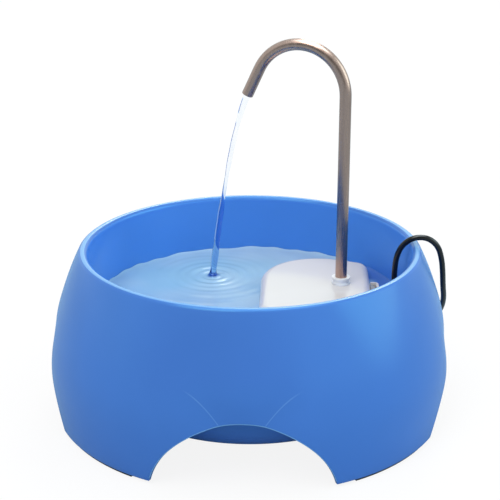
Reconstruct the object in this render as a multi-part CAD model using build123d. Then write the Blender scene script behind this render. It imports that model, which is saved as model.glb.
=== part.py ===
from build123d import *
import math
import os

# Pet water fountain, millimetres, +Z up.
# Origin: centre of the bowl's footprint on the surface that it stands on. -Y is the front.

# ---------------------------------------------------------------- bowl
BOWL_HEIGHT = 87.0            # floor to top of the rim
RIM_CREST_R = 85.0            # radius of the circle along the top of the rim
LIP_R = 2.6                   # half thickness of the rounded rim
LIP_FLARE = 27.0              # degrees off vertical where the outer wall leaves the lip
WALL = 2.5                    # both skins of the double-walled bowl
SHOULDER_R = 96.5             # the outer wall passes through a shoulder, a flank and a belly
SHOULDER_Z = 63.0
FLANK_R = 100.2
FLANK_Z = 51.0
BELLY_R = 103.7
BELLY_Z = 28.0
FOOT_R = 101.5                # outer radius at the bottom of the legs
BASIN_FLOOR_Z = 11.2          # upper face of the basin floor
BASIN_FLOOR_R = 62.5          # flat part of the floor
BASIN_BEND_R = 16.0           # inner bend between floor and wall
SKIN_GAP_TOP_Z = 79.0         # where the hollow between the two skins ends under the rim
LEG_COUNT = 4
ARCH_R = 45.5                 # circular finger arch between two legs
ARCH_TOP_Z = 36.0
ARCH_CLEAR = 1.5              # between an arch's cut and the basin's wall
PANEL_TOP_Z = 52.3            # the recessed panel over an arch starts at this height
PANEL_RECESS = 3.1            # depth of the panel below the wall's round form at the arch's top
PANEL_BULGE = 0.3             # how much the panel bulges between the two
LEG_SIDE_ANGLE = 18.7         # degrees from the arch's middle to where a leg is at its full radius
LEG_SIDE_SHIFT = 57.0         # from the bowl's axis to the axis that a leg's rounded side turns about
LEG_SIDE_ARC = 90.0           # degrees that each side is turned through, well into the panel
PAD_HEIGHT = 1.5              # rubber pads under the legs
PAD_WIDTH = 6.0
PAD_SPAN = 26.0               # degrees of each pad round the bowl
SOLE_WIDTH = 9.0              # inward flange at the bottom of each leg
SOLE_THICK = 2.0

# ---------------------------------------------------------------- pump housing
HOUSING_LEFT = 5.0            # plan of the housing at its parting line
HOUSING_RIGHT = 63.0
HOUSING_FRONT = -36.0
HOUSING_BACK = 49.0
BACK_CORNER_DROP = 7.5        # the back wall's right end stands this much nearer the front
BACK_KINK_X = 42.0            # where the back wall starts to slant
BACK_KINK_R = 20.0
BACK_LEFT_R = 31.0
BACK_RIGHT_R = 8.0
FRONT_LEFT_R = 16.0
FRONT_RIGHT_R = 12.0
BASE_BOTTOM_Z = 16.5
PARTING_Z = 50.0
COVER_TOP_Z = 63.5
BASE_DRAFT = 2.5              # degrees
COVER_DRAFT = 1.0
HOUSING_WALL = 1.8
BASE_FLOOR = 2.0
COVER_TOP_FILLET = 4.5
BASE_EDGE_FILLET = 3.0
LIP_DEPTH = 4.0               # locating lip of the cover inside the base
LIP_ROOT = 2.0                # height on which the lip is joined to the cover's wall
LIP_WALL = 1.2
LIP_CLEARANCE = 0.2
INTAKE_SLOTS = 6
INTAKE_SLOT_WIDTH = 2.4
INTAKE_PITCH = 4.6
INTAKE_LOW_Z = 22.0
INTAKE_HIGH_Z = 44.0
CUP_R = 8.0                   # suction feet
CUP_LIP = 0.9
CUP_CROWN_R = 3.6
CUP_NECK_R = 2.5
CUP_BUTTON_R = 3.4
CUP_BUTTON_H = 1.3
CUP_REST_GAP = 0.2            # between the feet and the basin floor
CUP_XS = (18.0, 47.5)
CUP_YS = (-10.0, 24.0)

# ---------------------------------------------------------------- spout
SPOUT_X = 47.2
SPOUT_Y = 8.2
SPOUT_HEADING = 158.6         # degrees from +X, the direction in which the spout reaches
TUBE_R = 3.0
TUBE_WALL = 0.5
TUBE_GAP = 0.2                # between the tube's lower end and the outlet stub
BEND_START_Z = 162.3
BEND_R = 24.4
BEND_ANGLE = 154.5
TAIL_LENGTH = 15.4
RUNNING_FIT = 0.05            # radial clearance of every turning or sliding round fit
SEAT_GAP = 0.05               # clearance of pieces that are seated for good
GROMMET_LIP_R = 4.8
GROMMET_BODY_R = 4.2
GROMMET_NECK_R = 4.0
GROMMET_FLANGE_R = 5.6        # hidden flange under the cover
GROMMET_HEIGHT = 3.7          # above the cover
GROMMET_LIP = 0.9
GROMMET_FLANGE = 1.2
SLEEVE_R = 4.6
SLEEVE_TOP_Z = 59.0
SLEEVE_GAP = 0.5

# ---------------------------------------------------------------- pump
PUMP_R = 14.5
PUMP_AXIS_Z = 34.0
OUTLET_OFFSET = 9.0           # outlet stub to the side of the rotor's axis
STUB_BORE_R = 2.0
STUB_TOP_Z = 52.2
CHAMBER_R = 11.5              # impeller chamber
CHAMBER_HALF = 4.2            # half its length along Y, centred on the outlet
PARTITION = 1.5
WELL_R = 6.4                  # rotor well
WELL_WALL = 0.9
WELL_LENGTH = 15.0
CASING_WALL = 1.6
MOTOR_LENGTH = 20.0           # behind the partition
FRONT_COVER = 3.0
SPIGOT = 1.2                  # the front cover's ring inside the chamber
WINDOWS = 6                   # intake windows of the front cover and of the flow dial
WINDOW_SPAN = 34.0            # degrees
WINDOW_IN_R = 4.6
WINDOW_OUT_R = 8.6
DIAL_R = 10.5
DIAL_THICK = 1.2
DIAL_GAP = 0.2
DIAL_PIN_R = 2.5
DIAL_PIN_HEAD = 0.4           # how far the snap head stands out
DIAL_LEVER = 3.0
DIAL_LEVER_HALF = 1.6
DIAL_GRIP = 1.6
ORING_R = 0.65
ORING_MID_R = 12.6
SHAFT_R = 1.15
BUSH_R = 3.0
BUSH_LENGTH = 2.6
BUSH_HOLDER = 1.4
IMPELLER_R = 9.2
IMPELLER_GAP = 0.4            # between the impeller's disc and the partition
DISC_THICK = 1.0
BLADES = 6
BLADE_THICK = 1.1
BLADE_HEIGHT = 4.4
BLADE_BOW = 1.6
ROTOR_SLEEVE_R = 3.1
ROTOR_END_GAP = 0.4
MAGNET_R = 5.7
MAGNET_LENGTH = 9.0
STATOR_LENGTH = 9.0
STATOR_YOKE = 2.0
POLES = 4
POLE_HALF = 1.7
POLE_SHOE = 0.9
POLE_SHOE_SPAN = 52.0         # degrees
COIL_HALF = 3.5
COIL_OVERHANG = 0.8
BOARD_THICK = 1.2
POTTING_DEPTH = 4.0
CRADLE_YS = (15.0, 31.0)      # saddles under the pump
CRADLE_THICK = 2.0
CRADLE_HALF = 12.0
CRADLE_TOP_Z = 28.0
CRADLE_GAP = 0.2

# ---------------------------------------------------------------- filter cassette
FILTER_X = 36.5
FILTER_WIDTH = 35.0
FILTER_FRONT_Y = -31.5
FILTER_HEIGHT = 34.0
FILTER_WALL = 1.2
FILTER_REST_GAP = 0.2
FILTER_CAP = 1.6
FILTER_BARS = 6
FILTER_BAR = 1.4
SPONGE_THICK = 5.0
CARBON_THICK = 4.0
COTTON_THICK = 2.0
LAYER_GAP = 0.15
HANDLE_HALF = 7.0             # finger loop on the cassette's cap
HANDLE_HEIGHT = 5.0
HANDLE_THICK = 1.6
RAIL_GAP = 0.3
RAIL_WALL = 1.5
RAIL_DEPTH = 3.0
RAIL_TOP_Z = 44.0

# ---------------------------------------------------------------- cord and plug
CORD_R = 1.5
GLAND_Y = 11.5                # middle of the pocket on the housing's right side
GLAND_Z = 47.5                # where the relief's axis crosses the housing's outer face
GLAND_TILT = 35.0             # degrees that the relief's nose points up
POCKET_HALF = 6.5
POCKET_REACH = 4.3            # out of the housing's side
POCKET_WALL = 1.2
POCKET_CORNER = 2.4
POCKET_LOW_Z = 55.5
POCKET_TOP_Z = 60.5
TAB_TOP_Z = 58.3
TAB_GAP = 0.3
RELIEF_GAP = 0.1
RELIEF_PLATE = 2.2
RELIEF_LOW_Z = 43.5
RELIEF_TOP_Z = 59.4
RELIEF_ROOT_R = 3.1
RELIEF_TIP_R = 2.1
RELIEF_NOSE = 8.4
RELIEF_GROOVES = 3
RELIEF_GROOVE = 0.8
RELIEF_FLANGE_R = 4.4
RELIEF_FLANGE = 1.3
RELIEF_INNER = 5.5            # end of the relief's neck, inside the housing
RELIEF_FLANGE_Z = 46.2        # middle of its inner flange
RELIEF_RUN = 6.0              # the cord leaves the relief straight over this length
LEAD_RUN = 6.5                # the same inside the housing
LEAD_Y = 27.5                 # where the inner lead enters the motor
LAY_Z = 1.6                   # centreline of a cord that lies on the floor
CREST_Z = 91.0                # the same where the cord crosses the rim
TURN_R = 17.0                 # put-away coil, at the middle of its turns
COIL_WIDTH = 12.6
COIL_HEIGHT = 9.6
COIL_ROUND = 2.5
COIL_X = 6.0
COIL_Y = 131.0
COIL_STUB = 12.0              # straight ends of the coil
COIL_END_ANGLES = (270.0, 250.0)   # where the cord comes in and where the plug's end leaves
TIE_THICK = 1.0
TIE_SPAN = 18.0               # degrees of the coil
TIE_ANGLE = 60.0
TIE_GAP = 0.15
TAIL_RUN = 16.0               # free cord between the coil and the plug
PLUG_RELIEF = 9.0
PLUG_LENGTH = 26.0
PLUG_WIDTH = 15.0
PLUG_HEIGHT = 7.6
PLUG_CORNER = 2.0
SHELL_REACH = 12.0            # out of the overmould
SHELL_SEAT = 6.0              # inside it
SHELL_WIDTH = 12.0
SHELL_HEIGHT = 4.5
SHELL_WALL = 0.4
TONGUE_THICK = 1.9

# ---------------------------------------------------------------- sizes that follow
DOWN = Vector(0, 0, -1)
FAR = 2 * BOWL_HEIGHT         # longer than anything that is cut
DIAGONAL = math.sqrt(0.5)
LIP_Z = BOWL_HEIGHT - LIP_R
BASIN_WALL_R = RIM_CREST_R - LIP_R
BEND_TOP_R = BASIN_FLOOR_R + BASIN_BEND_R
BEND_TOP_Z = BASIN_FLOOR_Z + BASIN_BEND_R
BASE_FLOOR_Z = BASE_BOTTOM_Z + BASE_FLOOR
PUMP_X = SPOUT_X - OUTLET_OFFSET
CHAMBER_FRONT = SPOUT_Y - CHAMBER_HALF
CHAMBER_BACK = SPOUT_Y + CHAMBER_HALF
WELL_END = CHAMBER_BACK + WELL_LENGTH
MOTOR_FRONT = CHAMBER_BACK + PARTITION
MOTOR_BACK = MOTOR_FRONT + MOTOR_LENGTH
COVER_FRONT = CHAMBER_FRONT - FRONT_COVER
DIAL_BACK = COVER_FRONT - DIAL_GAP
DIAL_FRONT = DIAL_BACK - DIAL_THICK
STATOR_IN_R = WELL_R + WELL_WALL + SEAT_GAP
STATOR_OUT_R = PUMP_R - CASING_WALL - SEAT_GAP
STATOR_FRONT = MOTOR_FRONT + COIL_OVERHANG + SEAT_GAP
STATOR_BACK = STATOR_FRONT + STATOR_LENGTH
FILTER_LOW_Z = BASE_FLOOR_Z + FILTER_REST_GAP
FILTER_TOP_Z = FILTER_LOW_Z + FILTER_HEIGHT
FILTER_DEPTH = SPONGE_THICK + CARBON_THICK + COTTON_THICK + 4 * LAYER_GAP + 2 * FILTER_WALL
RELIEF_TURN = Pos(HOUSING_RIGHT, GLAND_Y, GLAND_Z) * Rot(0, 90 - GLAND_TILT, 0)


# ---------------------------------------------------------------- helpers
def rz(radius, height):
    """A point of a profile that is turned about the Z axis."""
    return Vector(radius, 0, height)


def turned(edges, arc=360.0):
    return revolve(make_face(edges), Axis.Z, arc)


def chain(points):
    """Straight profile edges through the points."""
    return list(Polyline(points).edges())


def turned_outline(pairs):
    """A solid of revolution whose profile is straight lines through (radius, height) pairs."""
    return turned(Polyline([rz(*pair) for pair in pairs], close=True).edges())


def block(x0, x1, y0, y1, z0, z1):
    return Pos((x0 + x1) / 2, (y0 + y1) / 2, (z0 + z1) / 2) * Box(x1 - x0, y1 - y0, z1 - z0)


def rod(radius, z0, z1, x=0.0, y=0.0):
    return Pos(x, y, (z0 + z1) / 2) * Cylinder(radius, z1 - z0)


def ring(outer, inner, z0, z1):
    return rod(outer, z0, z1) - rod(inner, z0, z1)


def on_pump_axis(shape):
    """Puts a shape that is made along +Z from height y onto the pump's axis, where it runs along +Y."""
    return Pos(PUMP_X, 0, PUMP_AXIS_Z) * Rot(-90, 0, 0) * shape


def at_spout(shape):
    return Pos(SPOUT_X, SPOUT_Y, 0) * shape


def joined(shapes):
    total = shapes[0]
    for shape in shapes[1:]:
        total = total + shape
    return total


def round_z(shape, count, start=0.0):
    """Copies of a shape at equal angles round the Z axis."""
    return [Rot(0, 0, start + 360 / count * k) * shape for k in range(count)]


def sector(outer, inner, span, z0, z1):
    """A piece of a ring, centred on +X."""
    pairs = [(inner, z0), (outer, z0), (outer, z1), (inner, z1)]
    face = make_face(Polyline([rz(*pair) for pair in pairs], close=True).edges())
    return Rot(0, 0, -span / 2) * revolve(face, Axis.Z, span)


# ---------------------------------------------------------------- bowl
def outer_wall():
    """The outer wall's curve, from the lip down to the belly."""
    flare = math.radians(LIP_FLARE)
    start = rz(RIM_CREST_R + LIP_R * math.cos(flare), LIP_Z + LIP_R * math.sin(flare))
    points = [start, rz(SHOULDER_R, SHOULDER_Z), rz(FLANK_R, FLANK_Z), rz(BELLY_R, BELLY_Z)]
    return Spline(points, tangents=[rz(math.sin(flare), -math.cos(flare)), DOWN])


def leg_line():
    return TangentArc(rz(BELLY_R, BELLY_Z), rz(FOOT_R, PAD_HEIGHT), tangent=DOWN)


def inset(edge, distance):
    """A curve at a constant distance from a profile edge that runs downwards, towards the axis."""
    points = []
    for step in range(5):
        tangent = edge.tangent_at(step / 4)
        points.append(edge.position_at(step / 4) + Vector(tangent.Z, 0, -tangent.X) * distance)
    return Spline(points)


def share_at_height(edge, height):
    """How far along a profile edge that runs downwards it passes the height."""
    low, high = 0.0, 1.0
    for _ in range(40):
        middle = (low + high) / 2
        if edge.position_at(middle).Z > height:
            low = middle
        else:
            high = middle
    return low


def at_height(edge, height):
    return edge.position_at(share_at_height(edge, height))


def wall_edges(inwards):
    """The curves of the outer wall and of the legs below it, or parallel curves inside them."""
    edges = [outer_wall(), leg_line()]
    if inwards:
        edges = [inset(edge, inwards) for edge in edges]
    return edges


def panelled_form(inwards):
    """The bowl's round form with the panel's surface all round, without the legs."""
    wall, _ = wall_edges(inwards)
    share = share_at_height(wall, PANEL_TOP_Z)
    high = wall.position_at(share)
    low = at_height(wall, ARCH_TOP_Z) - rz(PANEL_RECESS, 0)
    panel = ThreePointArc(high, (high + low) / 2 + rz(PANEL_BULGE, 0), low)
    top = wall.position_at(0)
    rest = [low, rz(low.X, 0), rz(0, 0), rz(0, top.Z), top]
    return turned([wall.trim(0, share), panel, *chain(rest)])


def leg_form(inwards, shift, arc):
    """The legs' round form below the panel's top, turned about an axis that may be shifted."""
    wall, leg = wall_edges(inwards)
    top = wall.position_at(0)
    low = leg.position_at(1)
    rest = [low, rz(low.X, 0), rz(shift, 0), rz(shift, top.Z), top]
    face = make_face([wall, leg, *chain(rest)])
    return revolve(face, Axis((shift, 0, 0), (0, 0, 1)), arc) - rod(FAR, PANEL_TOP_Z, FAR)


def one_leg(inwards):
    """A leg between two arches: a round middle, and sides that curve in to the panels."""
    middle_arc = 360 / LEG_COUNT - 2 * LEG_SIDE_ANGLE
    middle = leg_form(inwards, 0, middle_arc)
    start = leg_form(inwards, LEG_SIDE_SHIFT, -LEG_SIDE_ARC)
    end = leg_form(inwards, LEG_SIDE_SHIFT, LEG_SIDE_ARC)
    return middle + start + Rot(0, 0, middle_arc) * end


def bowl_form(inwards):
    """The bowl's outside, filled, or the form of the hollow inside its outer skin."""
    legs = round_z(one_leg(inwards), LEG_COUNT, LEG_SIDE_ANGLE)
    return joined([panelled_form(inwards), *legs])


def lip():
    """The rounded top of the rim, from the crest down to where the outer wall leaves it."""
    crest = rz(RIM_CREST_R, BOWL_HEIGHT)
    half = math.radians(90 + LIP_FLARE) / 2
    middle = rz(RIM_CREST_R + LIP_R * math.cos(half), LIP_Z + LIP_R * math.sin(half))
    end = outer_wall().position_at(0)
    rest = [end, rz(0, end.Z), rz(0, BOWL_HEIGHT), crest]
    return turned([ThreePointArc(crest, middle, end), *chain(rest)])


def basin_form(skin):
    """The space that the basin's inner wall encloses, or with a skin the outside of that wall."""
    bend = BASIN_BEND_R + skin
    floor = rz(BASIN_FLOOR_R, BEND_TOP_Z - bend)
    middle = rz(BASIN_FLOOR_R + bend * DIAGONAL, BEND_TOP_Z - bend * DIAGONAL)
    bend_top = rz(BASIN_FLOOR_R + bend, BEND_TOP_Z)
    rest = [bend_top, rz(BASIN_WALL_R + skin, LIP_Z), rz(0, LIP_Z), rz(0, floor.Z), floor]
    return turned([ThreePointArc(floor, middle, bend_top), *chain(rest)])


def mouth():
    """The round opening inside the lip."""
    side = rz(BASIN_WALL_R, LIP_Z)
    crest = rz(RIM_CREST_R, BOWL_HEIGHT)
    middle = rz(RIM_CREST_R - LIP_R * DIAGONAL, LIP_Z + LIP_R * DIAGONAL)
    rest = [crest, rz(0, BOWL_HEIGHT), rz(0, LIP_Z), side]
    return turned([ThreePointArc(side, middle, crest), *chain(rest)])


def skirt_hollow():
    """The space between the two skins and under the basin, with the soles of the legs left solid."""
    hollow = bowl_form(WALL) - rod(FAR, SKIN_GAP_TOP_Z, FAR) - basin_form(WALL)
    return hollow - ring(FAR, FOOT_R - SOLE_WIDTH, PAD_HEIGHT, PAD_HEIGHT + SOLE_THICK)


def bowl():
    shell = bowl_form(0) + lip() - rod(FAR, 0, PAD_HEIGHT)
    shell = shell - basin_form(0) - mouth() - skirt_hollow()
    arch_pair = Rot(90, 0, 0) * rod(ARCH_R, -FAR, FAR, 0, ARCH_TOP_Z - ARCH_R)
    arch_pair = arch_pair - rod(BEND_TOP_R + WALL + ARCH_CLEAR, -FAR, FAR)
    for cut in (arch_pair, Rot(0, 0, 90) * arch_pair):
        shell = shell - cut
    return shell


def bowl_feet():
    """Curved rubber pads under the soles of the legs."""
    middle = FOOT_R - SOLE_WIDTH / 2
    pad = sector(middle + PAD_WIDTH / 2, middle - PAD_WIDTH / 2, PAD_SPAN, 0, PAD_HEIGHT)
    return joined(round_z(pad, LEG_COUNT, 180 / LEG_COUNT))


# ---------------------------------------------------------------- pump housing
def housing_plan(inwards=0.0):
    """Plan of the housing at its parting line, or a parallel line inside it."""
    corners = [
        (HOUSING_LEFT, HOUSING_FRONT),
        (HOUSING_RIGHT, HOUSING_FRONT),
        (HOUSING_RIGHT, HOUSING_BACK - BACK_CORNER_DROP),
        (BACK_KINK_X, HOUSING_BACK),
        (HOUSING_LEFT, HOUSING_BACK),
    ]
    radii = [FRONT_LEFT_R, FRONT_RIGHT_R, BACK_RIGHT_R, BACK_KINK_R, BACK_LEFT_R]
    points = [Vector(x, y, 0) for x, y in corners]
    plan = make_face(FilletPolyline(*points, radius=radii, close=True).edges())
    if inwards:
        plan = offset(plan, -inwards)
    return plan


def prism(inwards, start, end, draft):
    """The plan's solid between two heights; it narrows away from the start."""
    face = Pos(0, 0, start) * housing_plan(inwards)
    direction = (0, 0, math.copysign(1, end - start))
    return extrude(face, amount=abs(end - start), dir=direction, taper=draft)


def edges_at(shape, height):
    return shape.edges().filter_by_position(Axis.Z, height - 0.01, height + 0.01)


def cover_outside():
    form = prism(0, PARTING_Z, COVER_TOP_Z, COVER_DRAFT)
    return fillet(edges_at(form, COVER_TOP_Z), COVER_TOP_FILLET)


def cover_inside():
    top = COVER_TOP_Z - HOUSING_WALL
    form = prism(HOUSING_WALL, PARTING_Z, top, COVER_DRAFT)
    return fillet(edges_at(form, top), COVER_TOP_FILLET - HOUSING_WALL)


def tab_space(gap):
    """The raised tab of the base behind the cord's pocket, or with a gap the cover's notch for it."""
    half = POCKET_HALF + gap
    low = PARTING_Z - LIP_DEPTH - SEAT_GAP
    return block(HOUSING_RIGHT / 2, FAR, GLAND_Y - half, GLAND_Y + half, low, TAB_TOP_Z + gap)


def cord_pocket():
    """A band in the shape of a U that guards the cord's strain relief; it is open below."""
    outer = block(
        HOUSING_RIGHT - HOUSING_WALL / 2, HOUSING_RIGHT + POCKET_REACH,
        GLAND_Y - POCKET_HALF, GLAND_Y + POCKET_HALF, POCKET_LOW_Z, POCKET_TOP_Z,
    )
    front = outer.edges().filter_by(Axis.Z).sort_by(Axis.X)[-2:]
    outer = fillet(front, POCKET_CORNER)
    inner_half = POCKET_HALF - POCKET_WALL
    inner = block(
        HOUSING_RIGHT, HOUSING_RIGHT + POCKET_REACH - POCKET_WALL,
        GLAND_Y - inner_half, GLAND_Y + inner_half, 0, FAR,
    )
    over_tab = block(0, HOUSING_RIGHT + TAB_GAP / 2, 0, FAR, TAB_TOP_Z, FAR)
    return outer - inner - over_tab


def filter_rails():
    """Corner posts that the filter cassette slides between, and ribs on the front wall."""
    side = FILTER_WIDTH / 2 + RAIL_GAP
    back = FILTER_FRONT_Y + FILTER_DEPTH + RAIL_GAP
    posts = []
    for way in (-1, 1):
        near = FILTER_X + way * side
        far = near + way * RAIL_WALL
        hook = near - way * RAIL_DEPTH
        low = BASE_FLOOR_Z - BASE_FLOOR / 2
        posts.append(block(
            min(near, far), max(near, far), back - 2 * RAIL_DEPTH, back, low, RAIL_TOP_Z,
        ))
        posts.append(block(
            min(hook, far), max(hook, far), back, back + RAIL_WALL, low, RAIL_TOP_Z,
        ))
        rib = FILTER_X + way * INTAKE_PITCH * (INTAKE_SLOTS + 0.5) / 2
        posts.append(block(
            rib - RAIL_WALL / 2, rib + RAIL_WALL / 2,
            HOUSING_FRONT, FILTER_FRONT_Y - RAIL_GAP, low, RAIL_TOP_Z,
        ))
    return joined(posts)


def pump_cradle():
    saddles = []
    for y in CRADLE_YS:
        saddles.append(block(
            PUMP_X - CRADLE_HALF, PUMP_X + CRADLE_HALF, y - CRADLE_THICK / 2, y + CRADLE_THICK / 2,
            BASE_FLOOR_Z - BASE_FLOOR / 2, CRADLE_TOP_Z,
        ))
    seat = on_pump_axis(rod(PUMP_R + CRADLE_GAP, -FAR, FAR))
    return joined(saddles) - seat


def intake_slots():
    cuts = []
    for k in range(INTAKE_SLOTS):
        x = FILTER_X + (k - (INTAKE_SLOTS - 1) / 2) * INTAKE_PITCH
        half = INTAKE_SLOT_WIDTH / 2
        back = FILTER_FRONT_Y
        cuts.append(block(x - half, x + half, -FAR, back, INTAKE_LOW_Z + half, INTAKE_HIGH_Z - half))
        for z in (INTAKE_LOW_Z + half, INTAKE_HIGH_Z - half):
            cuts.append(Pos(x, back, z) * Rot(90, 0, 0) * rod(half, 0, FAR))
    return cuts


def housing_base():
    outer = prism(0, PARTING_Z, BASE_BOTTOM_Z, BASE_DRAFT)
    outer = fillet(edges_at(outer, BASE_BOTTOM_Z), BASE_EDGE_FILLET)
    inner = prism(HOUSING_WALL, PARTING_Z, BASE_FLOOR_Z, BASE_DRAFT)
    inner = fillet(edges_at(inner, BASE_FLOOR_Z), BASE_EDGE_FILLET - HOUSING_WALL)
    tab = (cover_outside() - cover_inside()) & tab_space(0)
    base = outer - inner + tab + cord_pocket()
    base = base + (filter_rails() & outer) + (pump_cradle() & outer)
    for cut in intake_slots():
        base = base - cut
    for x in CUP_XS:
        for y in CUP_YS:
            base = base - rod(CUP_NECK_R + SEAT_GAP, 0, BASE_FLOOR_Z + SEAT_GAP, x, y)
    return base - RELIEF_TURN * rod(RELIEF_ROOT_R + SEAT_GAP, -2 * RELIEF_ROOT_R, RELIEF_NOSE)


def housing_cover():
    shell = cover_outside() - cover_inside()
    lip_line = HOUSING_WALL + LIP_CLEARANCE
    root_top = PARTING_Z + LIP_ROOT
    root = prism(HOUSING_WALL / 2, PARTING_Z, root_top, COVER_DRAFT)
    root = root - prism(lip_line + LIP_WALL, PARTING_Z, root_top, COVER_DRAFT)
    low = PARTING_Z - LIP_DEPTH
    lip = prism(lip_line, PARTING_Z, low, BASE_DRAFT)
    lip = lip - prism(lip_line + LIP_WALL, PARTING_Z, low, BASE_DRAFT)
    cover = shell + root + lip - tab_space(TAB_GAP)
    return cover - rod(GROMMET_NECK_R + SEAT_GAP, PARTING_Z, FAR, SPOUT_X, SPOUT_Y)


def suction_feet():
    """Four cups with snap buttons through the floor of the base."""
    lip_z = BASIN_FLOOR_Z + CUP_REST_GAP
    under = BASE_BOTTOM_Z - SEAT_GAP
    button = BASE_FLOOR_Z + SEAT_GAP
    crown = under - 2 * CUP_LIP
    skirt = ThreePointArc(
        rz(CUP_R, lip_z + CUP_LIP),
        rz((CUP_R + CUP_CROWN_R) / 2, lip_z + 2 * CUP_LIP),
        rz(CUP_CROWN_R, under),
    )
    rest = [
        rz(CUP_CROWN_R, under), rz(CUP_NECK_R, under), rz(CUP_NECK_R, button),
        rz(CUP_BUTTON_R, button), rz(CUP_BUTTON_R, button + CUP_BUTTON_H),
        rz(0, button + CUP_BUTTON_H), rz(0, crown), rz(CUP_NECK_R, crown),
    ]
    hollow = ThreePointArc(
        rz(CUP_NECK_R, crown),
        rz((CUP_R + CUP_NECK_R) / 2 - CUP_LIP, lip_z + CUP_LIP),
        rz(CUP_R - CUP_LIP, lip_z),
    )
    rim = chain([rz(CUP_R - CUP_LIP, lip_z), rz(CUP_R, lip_z), rz(CUP_R, lip_z + CUP_LIP)])
    cup = turned([skirt, *chain(rest), hollow, *rim])
    return joined([Pos(x, y, 0) * cup for x in CUP_XS for y in CUP_YS])


# ---------------------------------------------------------------- spout
def spout_path():
    top = Vector(0, 0, BEND_START_Z)
    straight = Line(Vector(0, 0, STUB_TOP_Z + TUBE_GAP), top)
    centre = Vector(BEND_R, 0, BEND_START_Z)
    arc = []
    for part in (0.5, 1.0):
        angle = math.radians(180 - BEND_ANGLE * part)
        arc.append(centre + Vector(math.cos(angle), 0, math.sin(angle)) * BEND_R)
    bend = ThreePointArc(top, *arc)
    tail = Line(arc[1], arc[1] + bend.tangent_at(1) * TAIL_LENGTH)
    return Wire([straight, bend, tail])


def spout_tube():
    path = spout_path()
    start = Plane(origin=path.position_at(0), z_dir=path.tangent_at(0))
    tube = sweep(start * Circle(TUBE_R), path=path)
    tube = tube - sweep(start * Circle(TUBE_R - TUBE_WALL), path=path)
    return at_spout(Rot(0, 0, SPOUT_HEADING) * tube)


def spout_grommet():
    under = COVER_TOP_Z - HOUSING_WALL - SEAT_GAP
    over = COVER_TOP_Z + SEAT_GAP
    top = COVER_TOP_Z + GROMMET_HEIGHT
    bore = TUBE_R + RUNNING_FIT
    return at_spout(turned_outline([
        (bore, under - GROMMET_FLANGE), (GROMMET_FLANGE_R, under - GROMMET_FLANGE),
        (GROMMET_FLANGE_R, under), (GROMMET_NECK_R, under), (GROMMET_NECK_R, over),
        (GROMMET_LIP_R, over), (GROMMET_LIP_R, over + GROMMET_LIP),
        (GROMMET_BODY_R, over + GROMMET_LIP), (GROMMET_BODY_R, top - GROMMET_LIP),
        (GROMMET_LIP_R, top - GROMMET_LIP), (GROMMET_LIP_R, top), (bore, top),
    ]))


def outlet_sleeve():
    """Rubber sleeve that joins the spout to the pump's outlet stub and turns on it."""
    low = PUMP_AXIS_Z + PUMP_R
    return at_spout(ring(SLEEVE_R, TUBE_R + RUNNING_FIT, low, SLEEVE_TOP_Z))


# ---------------------------------------------------------------- pump
def windows(z0, z1):
    """Round openings of the intake, as sectors along the pump's axis."""
    cut = sector(WINDOW_OUT_R, WINDOW_IN_R, WINDOW_SPAN, z0, z1)
    return round_z(cut, WINDOWS, 360 / WINDOWS / 2)


def pump_casing():
    bush_end = WELL_END + BUSH_LENGTH
    body = rod(PUMP_R, CHAMBER_FRONT, MOTOR_BACK)
    body = body - rod(CHAMBER_R, CHAMBER_FRONT, CHAMBER_BACK) - rod(WELL_R, CHAMBER_FRONT, WELL_END)
    body = body - rod(BUSH_R + SEAT_GAP, CHAMBER_FRONT, bush_end)
    cavity = rod(PUMP_R - CASING_WALL, MOTOR_FRONT, MOTOR_BACK)
    cavity = cavity - rod(WELL_R + WELL_WALL, MOTOR_FRONT, WELL_END + WELL_WALL)
    cavity = cavity - rod(BUSH_R + BUSH_HOLDER, MOTOR_FRONT, bush_end + WELL_WALL)
    groove = ring(
        ORING_MID_R + ORING_R + SEAT_GAP, ORING_MID_R - ORING_R - SEAT_GAP,
        CHAMBER_FRONT, CHAMBER_FRONT + 2 * ORING_R + SEAT_GAP,
    )
    body = on_pump_axis(body - cavity - groove)
    chamber = on_pump_axis(rod(PUMP_R - CASING_WALL, CHAMBER_FRONT, CHAMBER_BACK))
    stub = at_spout(rod(TUBE_R, PUMP_AXIS_Z, STUB_TOP_Z)) - chamber
    bore = at_spout(rod(STUB_BORE_R, PUMP_AXIS_Z, STUB_TOP_Z))
    lead_x = PUMP_X + PUMP_R - 2 * CASING_WALL
    lead = Pos(lead_x, LEAD_Y, PUMP_AXIS_Z) * Rot(0, 90, 45) * rod(CORD_R + SEAT_GAP, 0, PUMP_R)
    return body + stub - bore - lead


def pump_front_cover():
    disc = rod(PUMP_R, COVER_FRONT, CHAMBER_FRONT)
    spigot_r = CHAMBER_R - SEAT_GAP
    spigot = ring(spigot_r, spigot_r - CASING_WALL, CHAMBER_FRONT, CHAMBER_FRONT + SPIGOT)
    pin = rod(DIAL_PIN_R, DIAL_FRONT - DIAL_GAP, COVER_FRONT)
    head_back = DIAL_FRONT - DIAL_GAP / 2
    head = rod(DIAL_PIN_R + DIAL_PIN_HEAD, head_back - 2 * DIAL_PIN_HEAD, head_back)
    cover = disc + spigot + pin + head
    cover = cover - rod(BUSH_R + SEAT_GAP, CHAMBER_FRONT - BUSH_LENGTH, CHAMBER_FRONT)
    for cut in windows(COVER_FRONT, CHAMBER_FRONT):
        cover = cover - cut
    return on_pump_axis(cover)


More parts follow.
